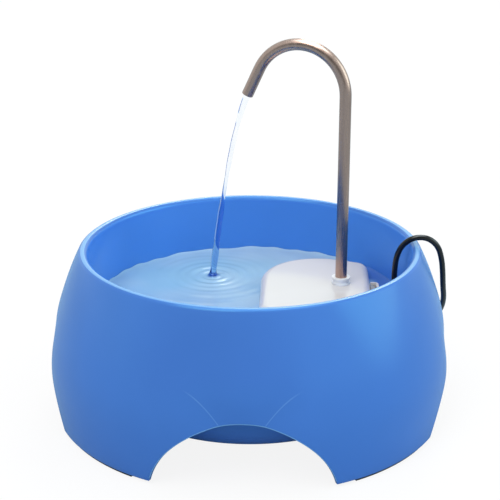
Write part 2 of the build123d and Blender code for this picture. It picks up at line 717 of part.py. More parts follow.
def flow_dial():
    """Turns in front of the intake windows and closes them; a lever at the top moves it."""
    dial = rod(DIAL_R, DIAL_FRONT, DIAL_BACK)
    reach = DIAL_R + DIAL_LEVER
    lever = block(DIAL_R - DIAL_LEVER, reach, -DIAL_LEVER_HALF, DIAL_LEVER_HALF, DIAL_FRONT, DIAL_BACK)
    grip = block(reach - DIAL_GRIP, reach, -DIAL_LEVER_HALF, DIAL_LEVER_HALF,
                 DIAL_FRONT - DIAL_GRIP, DIAL_BACK)
    start = -90 - 360 / WINDOWS / 4
    dial = dial + Rot(0, 0, start) * (lever + grip)
    dial = dial - rod(DIAL_PIN_R + RUNNING_FIT, DIAL_FRONT, DIAL_BACK)
    for cut in windows(DIAL_FRONT, DIAL_BACK):
        dial = dial - cut
    return on_pump_axis(dial)


def front_o_ring():
    middle = CHAMBER_FRONT + ORING_R
    return on_pump_axis(Pos(0, 0, middle) * Torus(ORING_MID_R, ORING_R))


def impeller():
    """Open impeller with bowed blades, on a sleeve that carries the magnet."""
    disc_back = CHAMBER_BACK - IMPELLER_GAP
    disc_front = disc_back - DISC_THICK
    blade_front = disc_front - BLADE_HEIGHT
    inner_end = Vector(ROTOR_SLEEVE_R, 0, 0)
    outer_end = Vector(IMPELLER_R - BLADE_THICK, 0, 0)
    bowed = ThreePointArc(inner_end, (inner_end + outer_end) / 2 + Vector(0, BLADE_BOW, 0), outer_end)
    strip = offset(bowed, BLADE_THICK / 2, side=Side.BOTH)
    blade = extrude(Pos(0, 0, blade_front) * make_face(strip.edges()), amount=BLADE_HEIGHT + DISC_THICK / 2)
    shoulder_end = STATOR_FRONT - SEAT_GAP
    wheel = rod(IMPELLER_R, disc_front, disc_back)
    wheel = wheel + rod(ROTOR_SLEEVE_R, blade_front, WELL_END - ROTOR_END_GAP)
    wheel = wheel + rod(ROTOR_SLEEVE_R + DISC_THICK, disc_back, shoulder_end)
    for piece in round_z(blade, BLADES):
        wheel = wheel + piece
    return on_pump_axis(wheel - rod(SHAFT_R + RUNNING_FIT, 0, MOTOR_BACK))


def rotor_magnet():
    back = STATOR_FRONT + MAGNET_LENGTH
    return on_pump_axis(ring(MAGNET_R, ROTOR_SLEEVE_R + SEAT_GAP, STATOR_FRONT, back))


def impeller_shaft():
    front = CHAMBER_FRONT - BUSH_LENGTH + SEAT_GAP
    return on_pump_axis(rod(SHAFT_R, front, WELL_END + BUSH_LENGTH - SEAT_GAP))


def shaft_bush(start):
    return on_pump_axis(ring(BUSH_R, SHAFT_R + SEAT_GAP, start, start + BUSH_LENGTH))


def stator_core():
    """Laminated ring with inward poles and pole shoes."""
    pole_end = STATOR_OUT_R - STATOR_YOKE / 2
    pole = block(STATOR_IN_R, pole_end, -POLE_HALF, POLE_HALF, STATOR_FRONT, STATOR_BACK)
    shoe = sector(STATOR_IN_R + POLE_SHOE, STATOR_IN_R, POLE_SHOE_SPAN, STATOR_FRONT, STATOR_BACK)
    core = ring(STATOR_OUT_R, STATOR_OUT_R - STATOR_YOKE, STATOR_FRONT, STATOR_BACK)
    for piece in round_z(pole, POLES) + round_z(shoe, POLES):
        core = core + piece
    return on_pump_axis(core - rod(STATOR_IN_R, STATOR_FRONT, STATOR_BACK))


def stator_coils():
    inner = STATOR_IN_R + POLE_SHOE + SEAT_GAP
    outer = STATOR_OUT_R - STATOR_YOKE - SEAT_GAP
    front = STATOR_FRONT - COIL_OVERHANG
    back = STATOR_BACK + COIL_OVERHANG
    space = ring(outer, inner, front, back)
    core_half = POLE_HALF + SEAT_GAP
    winding = block(0, outer, -COIL_HALF, COIL_HALF, front, back)
    core_front = STATOR_FRONT - SEAT_GAP
    core_back = STATOR_BACK + SEAT_GAP
    winding = winding - block(0, outer, -core_half, core_half, core_front, core_back)
    return on_pump_axis(joined(round_z(winding & space, POLES)))


def driver_board():
    front = LEAD_Y - CORD_R + SEAT_GAP
    return on_pump_axis(ring(STATOR_OUT_R, STATOR_IN_R, front - BOARD_THICK, front))


def motor_potting():
    plug = rod(STATOR_OUT_R, MOTOR_BACK - POTTING_DEPTH, MOTOR_BACK)
    bush_end = WELL_END + BUSH_LENGTH + WELL_WALL
    return on_pump_axis(plug - rod(BUSH_R + BUSH_HOLDER + SEAT_GAP, WELL_END, bush_end + SEAT_GAP))


# ---------------------------------------------------------------- filter cassette
def filter_box(inwards, low, high):
    half = FILTER_WIDTH / 2 - inwards
    front = FILTER_FRONT_Y + inwards
    back = FILTER_FRONT_Y + FILTER_DEPTH - inwards
    return block(FILTER_X - half, FILTER_X + half, front, back, low, high)


def filter_frame():
    """Tray with barred windows in its front and back."""
    body = filter_box(0, FILTER_LOW_Z, FILTER_TOP_Z - FILTER_CAP)
    body = body - filter_box(FILTER_WALL, FILTER_LOW_Z + FILTER_WALL, FILTER_TOP_Z)
    span = FILTER_WIDTH - 4 * FILTER_WALL
    pitch = (span + FILTER_BAR) / FILTER_BARS
    for k in range(FILTER_BARS):
        left = FILTER_X - span / 2 + k * pitch
        body = body - block(
            left, left + pitch - FILTER_BAR, -FAR, 0,
            FILTER_LOW_Z + 2 * FILTER_WALL, FILTER_TOP_Z - 4 * FILTER_WALL,
        )
    return body


def filter_cap():
    """Lid of the cassette with a finger loop."""
    low = FILTER_TOP_Z - FILTER_CAP
    plate = filter_box(0, low, FILTER_TOP_Z)
    skirt = filter_box(FILTER_WALL + SEAT_GAP, low - FILTER_WALL, low)
    skirt = skirt - filter_box(2 * FILTER_WALL, low - FILTER_WALL, low)
    middle = FILTER_FRONT_Y + FILTER_DEPTH / 2
    half = HANDLE_THICK / 2
    loop = block(
        FILTER_X - HANDLE_HALF, FILTER_X + HANDLE_HALF, middle - half, middle + half,
        FILTER_TOP_Z, FILTER_TOP_Z + HANDLE_HEIGHT,
    )
    inside = HANDLE_HALF - HANDLE_THICK
    loop = loop - block(
        FILTER_X - inside, FILTER_X + inside, middle - half, middle + half,
        FILTER_TOP_Z, FILTER_TOP_Z + HANDLE_HEIGHT - HANDLE_THICK,
    )
    return plate + skirt + loop


def filter_layer(front, thickness):
    half = FILTER_WIDTH / 2 - FILTER_WALL - LAYER_GAP
    low = FILTER_LOW_Z + FILTER_WALL + LAYER_GAP
    high = FILTER_TOP_Z - FILTER_CAP - FILTER_WALL - LAYER_GAP
    return block(FILTER_X - half, FILTER_X + half, front, front + thickness, low, high)


# ---------------------------------------------------------------- cord
def strain_relief():
    """Ribbed rubber relief: an outer plate, a tilted nose, a plug through the wall and a flange."""
    plate_left = HOUSING_RIGHT + SEAT_GAP
    half = POCKET_HALF - POCKET_WALL - RELIEF_GAP
    plate = block(plate_left, plate_left + RELIEF_PLATE, GLAND_Y - half, GLAND_Y + half,
                  RELIEF_LOW_Z, RELIEF_TOP_Z)
    slope = (RELIEF_ROOT_R - RELIEF_TIP_R) / RELIEF_NOSE
    nose = turned_outline([(0, 0), (RELIEF_ROOT_R, 0), (RELIEF_TIP_R, RELIEF_NOSE), (0, RELIEF_NOSE)])
    pitch = 2 * RELIEF_GROOVE
    first = RELIEF_NOSE - RELIEF_GROOVES * pitch
    for k in range(RELIEF_GROOVES):
        start = first + k * pitch
        core = RELIEF_ROOT_R - slope * start - RELIEF_GROOVE / 2
        nose = nose - ring(2 * RELIEF_ROOT_R, core, start, start + RELIEF_GROOVE)
    through = rod(RELIEF_ROOT_R, -RELIEF_INNER + RELIEF_FLANGE, 0)
    neck = rod(RELIEF_TIP_R, -RELIEF_INNER, 0)
    wall_drop = (PARTING_Z - RELIEF_FLANGE_Z + RELIEF_FLANGE_R) * math.tan(math.radians(BASE_DRAFT))
    flange_x = HOUSING_RIGHT - HOUSING_WALL - wall_drop - SEAT_GAP
    flange = block(
        flange_x - RELIEF_FLANGE, flange_x, GLAND_Y - RELIEF_FLANGE_R, GLAND_Y + RELIEF_FLANGE_R,
        RELIEF_FLANGE_Z - RELIEF_FLANGE_R, RELIEF_FLANGE_Z + RELIEF_FLANGE_R,
    )
    inside = block(0, flange_x - RELIEF_FLANGE / 2, 0, FAR, 0, FAR)
    body = plate + RELIEF_TURN * nose + (RELIEF_TURN * through - inside) + RELIEF_TURN * neck
    return body + flange


def tube_along(points, radii, radius):
    """A round cord whose straight runs are joined by tangent arcs."""
    path = Wire(FilletPolyline(*points, radius=radii).edges())
    start = Plane(origin=path.position_at(0), z_dir=path.tangent_at(0))
    return sweep(start * Circle(radius), path=path)


def bend_radii(points):
    """One radius per corner, from the shorter of its two runs and its turn."""
    radii = []
    for before, here, after in zip(points, points[1:], points[2:]):
        turn = math.radians((here - before).get_angle(after - here))
        run = min((here - before).length, (after - here).length)
        radii.append(0.45 * run / math.tan(turn / 2))
    return radii


def inner_lead():
    return tube_along(LEAD, bend_radii(LEAD), CORD_R)


def cord_inner_run():
    """From the relief up the inside of the basin to the middle of the rim."""
    radii = bend_radii(UP_THE_BASIN + DOWN_TO_THE_COIL)
    return tube_along(UP_THE_BASIN + [CREST_POINT], radii[:len(UP_THE_BASIN) - 1], CORD_R)


def cord_outer_run():
    """From the rim down the outside of the bowl to the put-away coil."""
    radii = bend_radii(UP_THE_BASIN + DOWN_TO_THE_COIL)
    return tube_along([CREST_POINT] + DOWN_TO_THE_COIL, radii[len(UP_THE_BASIN) - 1:], CORD_R)


def coil_section(wider):
    width = COIL_WIDTH + 2 * wider
    height = COIL_HEIGHT + 2 * wider
    return Pos(TURN_R, 0, COIL_MID_Z) * (Plane.XZ * RectangleRounded(width, height, COIL_ROUND + wider))


def cord_coil():
    """The put-away coil, with a straight end for the cord and one for the plug's tail."""
    coil = Pos(COIL_X, COIL_Y, 0) * revolve(coil_section(0), Axis.Z, 360)
    ends = [coil]
    for point, direction in ((in_point, COIL_IN_WAY), (out_point, COIL_OUT_WAY)):
        ends.append(extrude(Plane(origin=point, z_dir=direction) * Circle(CORD_R), amount=COIL_STUB))
    return joined(ends)


def cord_tie():
    band = coil_section(TIE_GAP + TIE_THICK) - coil_section(TIE_GAP)
    band = revolve(band, Axis.Z, TIE_SPAN)
    return Pos(COIL_X, COIL_Y, 0) * Rot(0, 0, TIE_ANGLE) * band


def cord_tail():
    place = Plane(origin=COIL_OUT, z_dir=COIL_OUT_WAY)
    return extrude(place * Circle(CORD_R), amount=TAIL_RUN)


def at_plug(shape):
    """Puts a shape that is made along +X from the cord's end into the plug's place."""
    return Pos(PLUG_START.X, PLUG_START.Y, PLUG_START.Z) * Rot(0, 0, PLUG_TURN) * shape


def plug_overmould():
    half = PLUG_WIDTH / 2
    body = block(PLUG_RELIEF, PLUG_RELIEF + PLUG_LENGTH, -half, half, -PLUG_HEIGHT / 2, PLUG_HEIGHT / 2)
    body = fillet(body.edges().filter_by(Axis.X), PLUG_CORNER)
    relief = Rot(0, 90, 0) * turned_outline([
        (0, 0), (RELIEF_TIP_R, 0), (RELIEF_ROOT_R, PLUG_RELIEF + PLUG_CORNER),
        (0, PLUG_RELIEF + PLUG_CORNER),
    ])
    seat = plug_shell_block(SEAT_GAP, SHELL_START - SEAT_GAP)
    return at_plug(body + relief - seat)


def plug_shell_block(wider, start):
    half = SHELL_WIDTH / 2 + wider
    high = SHELL_HEIGHT / 2 + wider
    return block(start, SHELL_START + SHELL_SEAT + SHELL_REACH, -half, half, -high, high)


def plug_shell():
    floor = SHELL_START + SHELL_WALL
    return at_plug(plug_shell_block(0, SHELL_START) - plug_shell_block(-SHELL_WALL, floor))


def plug_tongue():
    half = SHELL_WIDTH / 2 - SHELL_WALL - SEAT_GAP
    top = SHELL_HEIGHT / 2 - SHELL_WALL - SEAT_GAP
    end = SHELL_START + SHELL_SEAT + SHELL_REACH - SHELL_WALL
    start = SHELL_START + SHELL_WALL + SEAT_GAP
    return at_plug(block(start, end, -half, half, top - TONGUE_THICK, top))


# ---------------------------------------------------------------- the cord's route
def on_relief(distance):
    """A point on the axis of the strain relief, measured from the housing's face."""
    tilt = math.radians(GLAND_TILT)
    return Vector(HOUSING_RIGHT, GLAND_Y, GLAND_Z) + Vector(math.cos(tilt), 0, math.sin(tilt)) * distance


def on_coil(angle, height):
    """A point on the outermost turn of the coil, and the direction in which the cord leaves there."""
    radius = TURN_R + COIL_WIDTH / 2 - CORD_R
    turn = math.radians(angle)
    point = Vector(COIL_X + radius * math.cos(turn), COIL_Y + radius * math.sin(turn), height)
    return point, Vector(math.sin(turn), -math.cos(turn), 0)


COIL_LOW_Z = TIE_THICK + 2 * TIE_GAP
COIL_MID_Z = COIL_LOW_Z + COIL_HEIGHT / 2
CORD_IN_Z = COIL_LOW_Z + CORD_R
CORD_OUT_Z = PLUG_HEIGHT / 2
in_point, in_way = on_coil(COIL_END_ANGLES[0], CORD_IN_Z)
COIL_IN = in_point - in_way * COIL_STUB
COIL_IN_WAY = -in_way
out_point, COIL_OUT_WAY = on_coil(COIL_END_ANGLES[1], CORD_OUT_Z)
COIL_OUT = out_point + COIL_OUT_WAY * COIL_STUB
PLUG_START = COIL_OUT + COIL_OUT_WAY * TAIL_RUN
PLUG_TURN = math.degrees(math.atan2(COIL_OUT_WAY.Y, COIL_OUT_WAY.X))
SHELL_START = PLUG_RELIEF + PLUG_LENGTH - SHELL_SEAT

LEAD = [
    on_relief(-RELIEF_INNER),
    on_relief(-RELIEF_INNER - LEAD_RUN),
    Vector(58.2, 19.5, 35.5),
    Vector(57.8, LEAD_Y, PUMP_AXIS_Z),
    Vector(PUMP_X + STATOR_OUT_R + SEAT_GAP, LEAD_Y, PUMP_AXIS_Z),
]
UP_THE_BASIN = [
    on_relief(RELIEF_NOSE),
    on_relief(RELIEF_NOSE + RELIEF_RUN),
    Vector(74.4, 10.6, 63.8),
    Vector(74.4, 8.9, 71.4),
    Vector(74.7, 7.2, 79.0),
    Vector(77.0, 5.8, 86.4),
    Vector(83.2, 4.6, CREST_Z),
]
DOWN_TO_THE_COIL = [
    Vector(90.8, 4.6, CREST_Z),
    Vector(97.0, 5.8, 86.5),
    Vector(100.2, 8.2, 78.5),
    Vector(101.6, 11.5, 69.5),
    Vector(102.8, 16.0, 60.0),
    Vector(103.8, 23.0, 49.5),
    Vector(102.8, 33.0, 39.0),
    Vector(99.0, 45.0, 28.5),
    Vector(92.5, 58.0, 18.5),
    Vector(83.0, 72.0, 9.5),
    Vector(71.5, 86.0, 3.2),
    Vector(58.0, 98.0, LAY_Z),
    Vector(43.0, 106.0, LAY_Z + TIE_GAP),
    Vector(30.0, COIL_IN.Y, CORD_IN_Z),
    COIL_IN,
]
CREST_POINT = (UP_THE_BASIN[-1] + DOWN_TO_THE_COIL[0]) / 2


# ---------------------------------------------------------------- the parts
FIRST_LAYER_Y = FILTER_FRONT_Y + FILTER_WALL + LAYER_GAP
SECOND_LAYER_Y = FIRST_LAYER_Y + SPONGE_THICK + LAYER_GAP
THIRD_LAYER_Y = SECOND_LAYER_Y + CARBON_THICK + LAYER_GAP

PARTS = {
    "bowl": bowl(),
    "bowl_feet": bowl_feet(),
    "housing_base": housing_base(),
    "suction_feet": suction_feet(),
    "housing_cover": housing_cover(),
    "spout_grommet": spout_grommet(),
    "spout_tube": spout_tube(),
    "outlet_sleeve": outlet_sleeve(),
    "pump_casing": pump_casing(),
    "pump_front_cover": pump_front_cover(),
    "flow_dial": flow_dial(),
    "front_o_ring": front_o_ring(),
    "impeller": impeller(),
    "rotor_magnet": rotor_magnet(),
    "impeller_shaft": impeller_shaft(),
    "front_bush": shaft_bush(CHAMBER_FRONT - BUSH_LENGTH),
    "rear_bush": shaft_bush(WELL_END),
    "stator_core": stator_core(),
    "stator_coils": stator_coils(),
    "driver_board": driver_board(),
    "motor_potting": motor_potting(),
    "filter_frame": filter_frame(),
    "filter_cap": filter_cap(),
    "filter_sponge": filter_layer(FIRST_LAYER_Y, SPONGE_THICK),
    "carbon_pad": filter_layer(SECOND_LAYER_Y, CARBON_THICK),
    "cotton_pad": filter_layer(THIRD_LAYER_Y, COTTON_THICK),
    "strain_relief": strain_relief(),
    "inner_lead": inner_lead(),
    "cord_inner_run": cord_inner_run(),
    "cord_outer_run": cord_outer_run(),
    "cord_coil": cord_coil(),
    "cord_tie": cord_tie(),
    "cord_tail": cord_tail(),
    "plug_overmould": plug_overmould(),
    "plug_shell": plug_shell(),
    "plug_tongue": plug_tongue(),
}

os.makedirs("parts", exist_ok=True)
for name, shape in PARTS.items():
    export_step(shape, f"parts/{name}.step")
    print(name, len(shape.solids()), round(shape.volume))
print("lead radii", [round(radius, 1) for radius in bend_radii(LEAD)])
print("cord radii", [round(radius, 1) for radius in bend_radii(UP_THE_BASIN + DOWN_TO_THE_COIL)])
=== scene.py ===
import math

import bmesh
import bpy
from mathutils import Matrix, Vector


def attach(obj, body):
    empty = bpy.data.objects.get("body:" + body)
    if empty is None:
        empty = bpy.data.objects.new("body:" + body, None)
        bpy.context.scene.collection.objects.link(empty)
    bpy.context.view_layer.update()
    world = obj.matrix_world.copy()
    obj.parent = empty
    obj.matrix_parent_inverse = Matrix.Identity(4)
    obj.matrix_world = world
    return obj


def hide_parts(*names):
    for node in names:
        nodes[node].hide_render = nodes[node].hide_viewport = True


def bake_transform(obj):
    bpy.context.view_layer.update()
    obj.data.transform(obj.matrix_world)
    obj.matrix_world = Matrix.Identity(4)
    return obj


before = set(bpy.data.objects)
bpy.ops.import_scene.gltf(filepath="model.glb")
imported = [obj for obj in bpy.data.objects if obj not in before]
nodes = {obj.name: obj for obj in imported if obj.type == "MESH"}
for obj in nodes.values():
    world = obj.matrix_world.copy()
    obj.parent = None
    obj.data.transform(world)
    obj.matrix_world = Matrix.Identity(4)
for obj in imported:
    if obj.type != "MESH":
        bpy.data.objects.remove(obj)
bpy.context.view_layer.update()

MM = 0.001
QUARTER = math.pi / 2


def mm(*values):
    """A vector in metres from values in millimetres."""
    return Vector(values) * MM


# ------------------------------------------------------------ helpers
def link(name, data):
    """A new object in the scene that shows the data."""
    obj = bpy.data.objects.new(name, data)
    bpy.context.scene.collection.objects.link(obj)
    return obj


def aim(obj, where, target):
    """Places a camera or a lamp and points it at the target."""
    obj.location = where
    obj.rotation_euler = (target - where).to_track_quat("-Z", "Y").to_euler()


def even(start, end, steps, first=1):
    """Evenly spaced values up to the end; the start is among them only where first is 0."""
    return [start + (end - start) * k / steps for k in range(first, steps + 1)]


def around(count):
    """Angles evenly round a circle."""
    return [2 * math.pi * k / count for k in range(count)]


def smooth(x):
    """Eases from 0 to 1 while x goes from 0 to 1."""
    x = min(1.0, max(0.0, x))
    return x * x * (3 - 2 * x)


def grid_mesh(name, rings, close_rings=False):
    """A smooth mesh through closed rings of points; all have the same number of points."""
    count = len(rings[0])
    vertices = [tuple(point) for ring in rings for point in ring]
    faces = []
    for r in range(len(rings) if close_rings else len(rings) - 1):
        for c in range(count):
            r2 = (r + 1) % len(rings)
            c2 = (c + 1) % count
            faces.append((r * count + c, r * count + c2, r2 * count + c2, r2 * count + c))
    mesh = bpy.data.meshes.new(name)
    mesh.from_pydata(vertices, [], faces)
    mesh.update()
    for polygon in mesh.polygons:
        polygon.use_smooth = True
    return mesh


def spline_points(points, resolution):
    """Points along the quadratic NURBS spline that has the given control points."""
    curve = bpy.data.curves.new("route", "CURVE")
    curve.dimensions = "3D"
    spline = curve.splines.new("NURBS")
    spline.points.add(len(points) - 1)
    for knot, point in zip(spline.points, points):
        knot.co = (*point, 1.0)
    spline.order_u = 3
    spline.use_endpoint_u = True
    spline.resolution_u = resolution
    holder = link("route_holder", curve)
    bpy.context.view_layer.update()
    mesh = bpy.data.meshes.new_from_object(holder)
    course = [Vector(vertex.co) for vertex in mesh.vertices]
    bpy.data.objects.remove(holder)
    bpy.data.curves.remove(curve)
    bpy.data.meshes.remove(mesh)
    return course


def frames_along(course):
    """A pair of directions across the course at each point, carried along without twist."""
    tangents = []
    for i in range(len(course)):
        before = course[max(i - 1, 0)]
        after = course[min(i + 1, len(course) - 1)]
        tangents.append((after - before).normalized())
    side = tangents[0].orthogonal().normalized()
    pairs = []
    for tangent in tangents:
        side = (side - tangent * side.dot(tangent)).normalized()
        pairs.append((side, tangent.cross(side)))
    return pairs


def tube_mesh(name, course, radii, sides, squash=1.0):
    """An open tube along the course with a radius for each point; squash flattens it."""
    rings = []
    for point, radius, (u, v) in zip(course, radii, frames_along(course)):
        rings.append([
            point + (u * math.cos(turn) + v * math.sin(turn) * squash) * radius
            for turn in around(sides)
        ])
    return grid_mesh(name, rings)


def close_ends(mesh, sides):
    """Closes a tube with a face over its first ring and one over its last."""
    work = bmesh.new()
    work.from_mesh(mesh)
    ends = list(work.verts)
    work.faces.new(ends[:sides][::-1])
    work.faces.new(ends[-sides:])
    work.to_mesh(mesh)
    work.free()


# ------------------------------------------------------------ camera
CAMERA_PLACE = mm(22.18, -611.65, 303.28)
CAMERA_TARGET = mm(0.07, 0.0, 84.13)

camera_data = bpy.data.cameras.new("camera")
camera_data.sensor_width = 36.0
camera_data.lens = 91.52
camera_data.clip_start = 0.01
camera_data.clip_end = 20.0
camera = link("camera", camera_data)
aim(camera, CAMERA_PLACE, CAMERA_TARGET)
bpy.context.scene.camera = camera


# ------------------------------------------------------------ node trees
def srgb(r, g, b):
    """Linear colour from 8-bit sRGB values."""
    def one(value):
        value = value / 255
        return value / 12.92 if value <= 0.04045 else ((value + 0.055) / 1.055) ** 2.4
    return one(r), one(g), one(b)


def shade(colour, factor):
    return tuple(min(1.0, c * factor) for c in colour)


def opaque(colour):
    """The colour with the alpha that a socket asks for."""
    return (*colour, 1.0)


class Tree:
    """A short way to write a node tree."""

    def __init__(self, tree, space):
        self.tree = tree
        self.coords = self.add("ShaderNodeTexCoord").outputs[space]

    def feed(self, socket, value):
        """Links the socket to another node's output, or sets a plain value on it."""
        if hasattr(value, "is_output"):
            self.tree.links.new(value, socket)
        else:
            socket.default_value = value

    def add(self, kind, **sockets):
        node = self.tree.nodes.new(kind)
        for key, value in sockets.items():
            self.feed(node.inputs[key.replace("_", " ")], value)
        return node

    def feed_all(self, node, values):
        for socket, value in zip(node.inputs, values):
            self.feed(socket, value)

    def maths(self, operation, *values):
        node = self.add("ShaderNodeMath")
        node.operation = operation
        self.feed_all(node, values)
        return node.outputs[0]

    def vector_maths(self, operation, *vectors):
        """A number made from vectors, such as their distance."""
        node = self.add("ShaderNodeVectorMath")
        node.operation = operation
        self.feed_all(node, vectors)
        return node.outputs["Value"]

    def mixed_shader(self, share, first, second):
        """The first shader, turned into the second by the share."""
        node = self.add("ShaderNodeMixShader")
        self.feed_all(node, (share, first, second))
        return node.outputs[0]

    def mixed_colour(self, share, first, second):
        """A node's colour, turned into the second, plain colour by the share."""
        node = self.add("ShaderNodeMix")
        node.data_type = "RGBA"
        self.feed(node.inputs["Factor"], share)
        first_colour, second_colour, result = node.inputs[6], node.inputs[7], node.outputs[2]
        self.feed(first_colour, first)
        self.feed(second_colour, opaque(second))
        return result

    def axis(self, letter):
        return self.add("ShaderNodeSeparateXYZ", Vector=self.coords).outputs[letter]

    def scaled(self, x, y, z):
        return self.add("ShaderNodeMapping", Vector=self.coords, Scale=(x, y, z)).outputs["Vector"]

    def noise(self, scale, detail, vector=None, roughness=0.5):
        node = self.add("ShaderNodeTexNoise", Vector=vector or self.coords,
                        Scale=scale, Detail=detail, Roughness=roughness)
        return node.outputs["Fac"]

    def ramp(self, source, *stops):
        """A colour that eases from one stop to the other; a stop is a place and a colour."""
        node = self.add("ShaderNodeValToRGB", Fac=source)
        node.color_ramp.interpolation = "EASE"
        for element, (place, colour) in zip(node.color_ramp.elements, stops):
            element.position = place
            element.color = opaque(colour)
        return node.outputs["Color"]

    def spread(self, source, low, high, low_in=0.1, high_in=0.9):
        """Eases from low to high while the source goes from low_in to high_in."""
        node = self.add("ShaderNodeMapRange", Value=source, From_Min=low_in, From_Max=high_in,
                        To_Min=low, To_Max=high)
        node.interpolation_type = "SMOOTHSTEP"
        return node.outputs["Result"]

    def clear_rays(self):
        """1 for rays from the camera, also through the water; 0 for those that light."""
        rays = self.add("ShaderNodeLightPath").outputs
        return self.maths("MAXIMUM", rays["Is Camera Ray"], rays["Is Transmission Ray"])


class Look(Tree):
    """A new material and its node tree."""

    def __init__(self, name):
        self.material = bpy.data.materials.new(name)
        self.material.use_nodes = True
        super().__init__(self.material.node_tree, "Object")
        self.shader = self.tree.nodes["Principled BSDF"]

    def set(self, **sockets):
        for key, value in sockets.items():
            self.feed(self.shader.inputs[key.replace("_", " ")], value)

    def bump(self, height, strength, distance):
        node = self.add("ShaderNodeBump", Height=height, Strength=strength, Distance=distance)
        self.set(Normal=node.outputs["Normal"])


# ------------------------------------------------------------ materials
def plastic(name, colour, roughness, grain=900.0, depth=0.00002, spread=0.05):
    """Moulded plastic: fine grain, faint flow marks and slightly uneven gloss."""
    look = Look(name)
    flow = look.ramp(look.noise(scale=28.0, detail=2.0),
                     (0.1, shade(colour, 1 - spread)), (0.9, shade(colour, 1 + spread)))
    gloss = look.spread(look.noise(scale=60.0, detail=1.0), roughness * 0.9, roughness * 1.1)
    look.set(Base_Color=flow, Roughness=gloss)
    look.bump(look.noise(scale=grain, detail=3.0), strength=0.25, distance=depth)
    return look


def rubber(name, colour, roughness=0.6, grain=1500.0):
    """Rubber or another dull, dense material: cloudy and a little rough."""
    look = Look(name)
    cloud = look.ramp(look.noise(scale=90.0, detail=4.0),
                      (0.3, shade(colour, 0.85)), (0.7, shade(colour, 1.2)))
    gloss = look.spread(look.noise(scale=200.0, detail=3.0),
                        roughness * 0.85, min(1.0, roughness * 1.15))
    look.set(Base_Color=cloud, Roughness=gloss)
    look.bump(look.noise(scale=grain, detail=2.0), strength=0.35, distance=0.00004)
    return look


def metal(name, colour, roughness, stretch, scale=400.0, depth=0.00001):
    """Drawn or brushed metal; stretch sets the grain's direction."""
    look = Look(name)
    grain = look.noise(scale, detail=4.0, vector=look.scaled(*stretch), roughness=0.7)
    streaks = look.ramp(grain, (0.3, shade(colour, 0.92)), (0.7, shade(colour, 1.08)))
    gloss = look.spread(grain, roughness * 0.75, roughness * 1.3)
    look.set(Base_Color=streaks, Roughness=gloss, Metallic=1.0)
    look.bump(grain, strength=0.3, distance=depth)
    return look


def fibres(name, colour, scale):
    """Foam or felt: open cells or tangled fibres."""
    look = Look(name)
    cells = look.add("ShaderNodeTexVoronoi", Vector=look.coords, Scale=scale).outputs["Distance"]
    # the cells' hollows are painted darker: painted shade
    hollow_shade = look.ramp(cells, (0.1, shade(colour, 0.5)), (0.6, shade(colour, 1.15)))
    look.set(Base_Color=hollow_shade, Roughness=0.95)
    look.bump(cells, strength=0.8, distance=0.0006)
    return look


BOWL_SKIN = {"grain": 700.0, "depth": 0.00003, "spread": 0.03}
GLOSS_TINT, SHEEN_TINT = (0.3, 0.9, 1.0), (0.05, 0.8, 1.0)

bowl_blue = plastic("bowl_blue", srgb(70, 118, 202), 0.24, **BOWL_SKIN)
# the basin is the same plastic in a lighter copy of the blue: painted light
basin_painted_light = plastic("basin_painted_light", srgb(76, 135, 222), 0.2, **BOWL_SKIN)
# a lighter blue on the rim's crest and the arches' rounded edges: a painted highlight
painted_edge_highlight = plastic("painted_edge_highlight", srgb(112, 168, 226), 0.22, **BOWL_SKIN)
white_shell = plastic("white_shell", srgb(222, 218, 216), 0.12, spread=0.012)
pump_black = plastic("pump_black", srgb(38, 38, 40), 0.42)
wheel_white = plastic("wheel_white", srgb(222, 221, 216), 0.4, spread=0.02)
ceramic = plastic("ceramic", srgb(236, 233, 226), 0.15, grain=2500.0, spread=0.01)
potting = plastic("potting", srgb(24, 24, 27), 0.2, grain=300.0, depth=0.00008)
plug_black = plastic("plug_black", srgb(28, 28, 30), 0.45, grain=1600.0, depth=0.00004)
tongue_white = plastic("tongue_white", srgb(225, 225, 225), 0.4)
board_green = plastic("board_green", srgb(24, 92, 52), 0.35, grain=2000.0)
dark_rubber = rubber("dark_rubber", srgb(34, 34, 37))
clear_rubber = rubber("clear_rubber", srgb(190, 194, 196), 0.35)
pale_rubber = rubber("pale_rubber", srgb(222, 224, 226), 0.35)
relief_grey = rubber("relief_grey", srgb(132, 135, 140), 0.55)
cord_black = rubber("cord_black", srgb(12, 11, 11), 0.2, grain=1800.0)
ferrite = rubber("ferrite", srgb(58, 56, 54), 0.5, grain=900.0)
steel_tube = metal("steel_tube", srgb(181, 151, 138), 0.26, stretch=(1.0, 1.0, 0.06))
core_steel = metal("core_steel", srgb(128, 132, 138), 0.4, stretch=(0.2, 3.0, 0.2),
                   scale=900.0, depth=0.00005)
copper = metal("copper", srgb(196, 110, 62), 0.35, stretch=(0.3, 6.0, 0.3),
               scale=700.0, depth=0.0001)
plated = metal("plated", srgb(205, 205, 208), 0.18, stretch=(1.0, 1.0, 1.0), scale=120.0)
sponge = fibres("sponge", srgb(66, 66, 70), scale=900.0)
carbon = fibres("carbon", srgb(36, 36, 38), scale=1600.0)
cotton = fibres("cotton", srgb(232, 231, 226), scale=1400.0)

for blue in (bowl_blue, basin_painted_light):
    blue.set(Specular_Tint=opaque(GLOSS_TINT))
bowl_blue.set(Sheen_Weight=0.12, Sheen_Roughness=0.3, Sheen_Tint=opaque(SHEEN_TINT))
cord_black.set(Specular_IOR_Level=0.45)

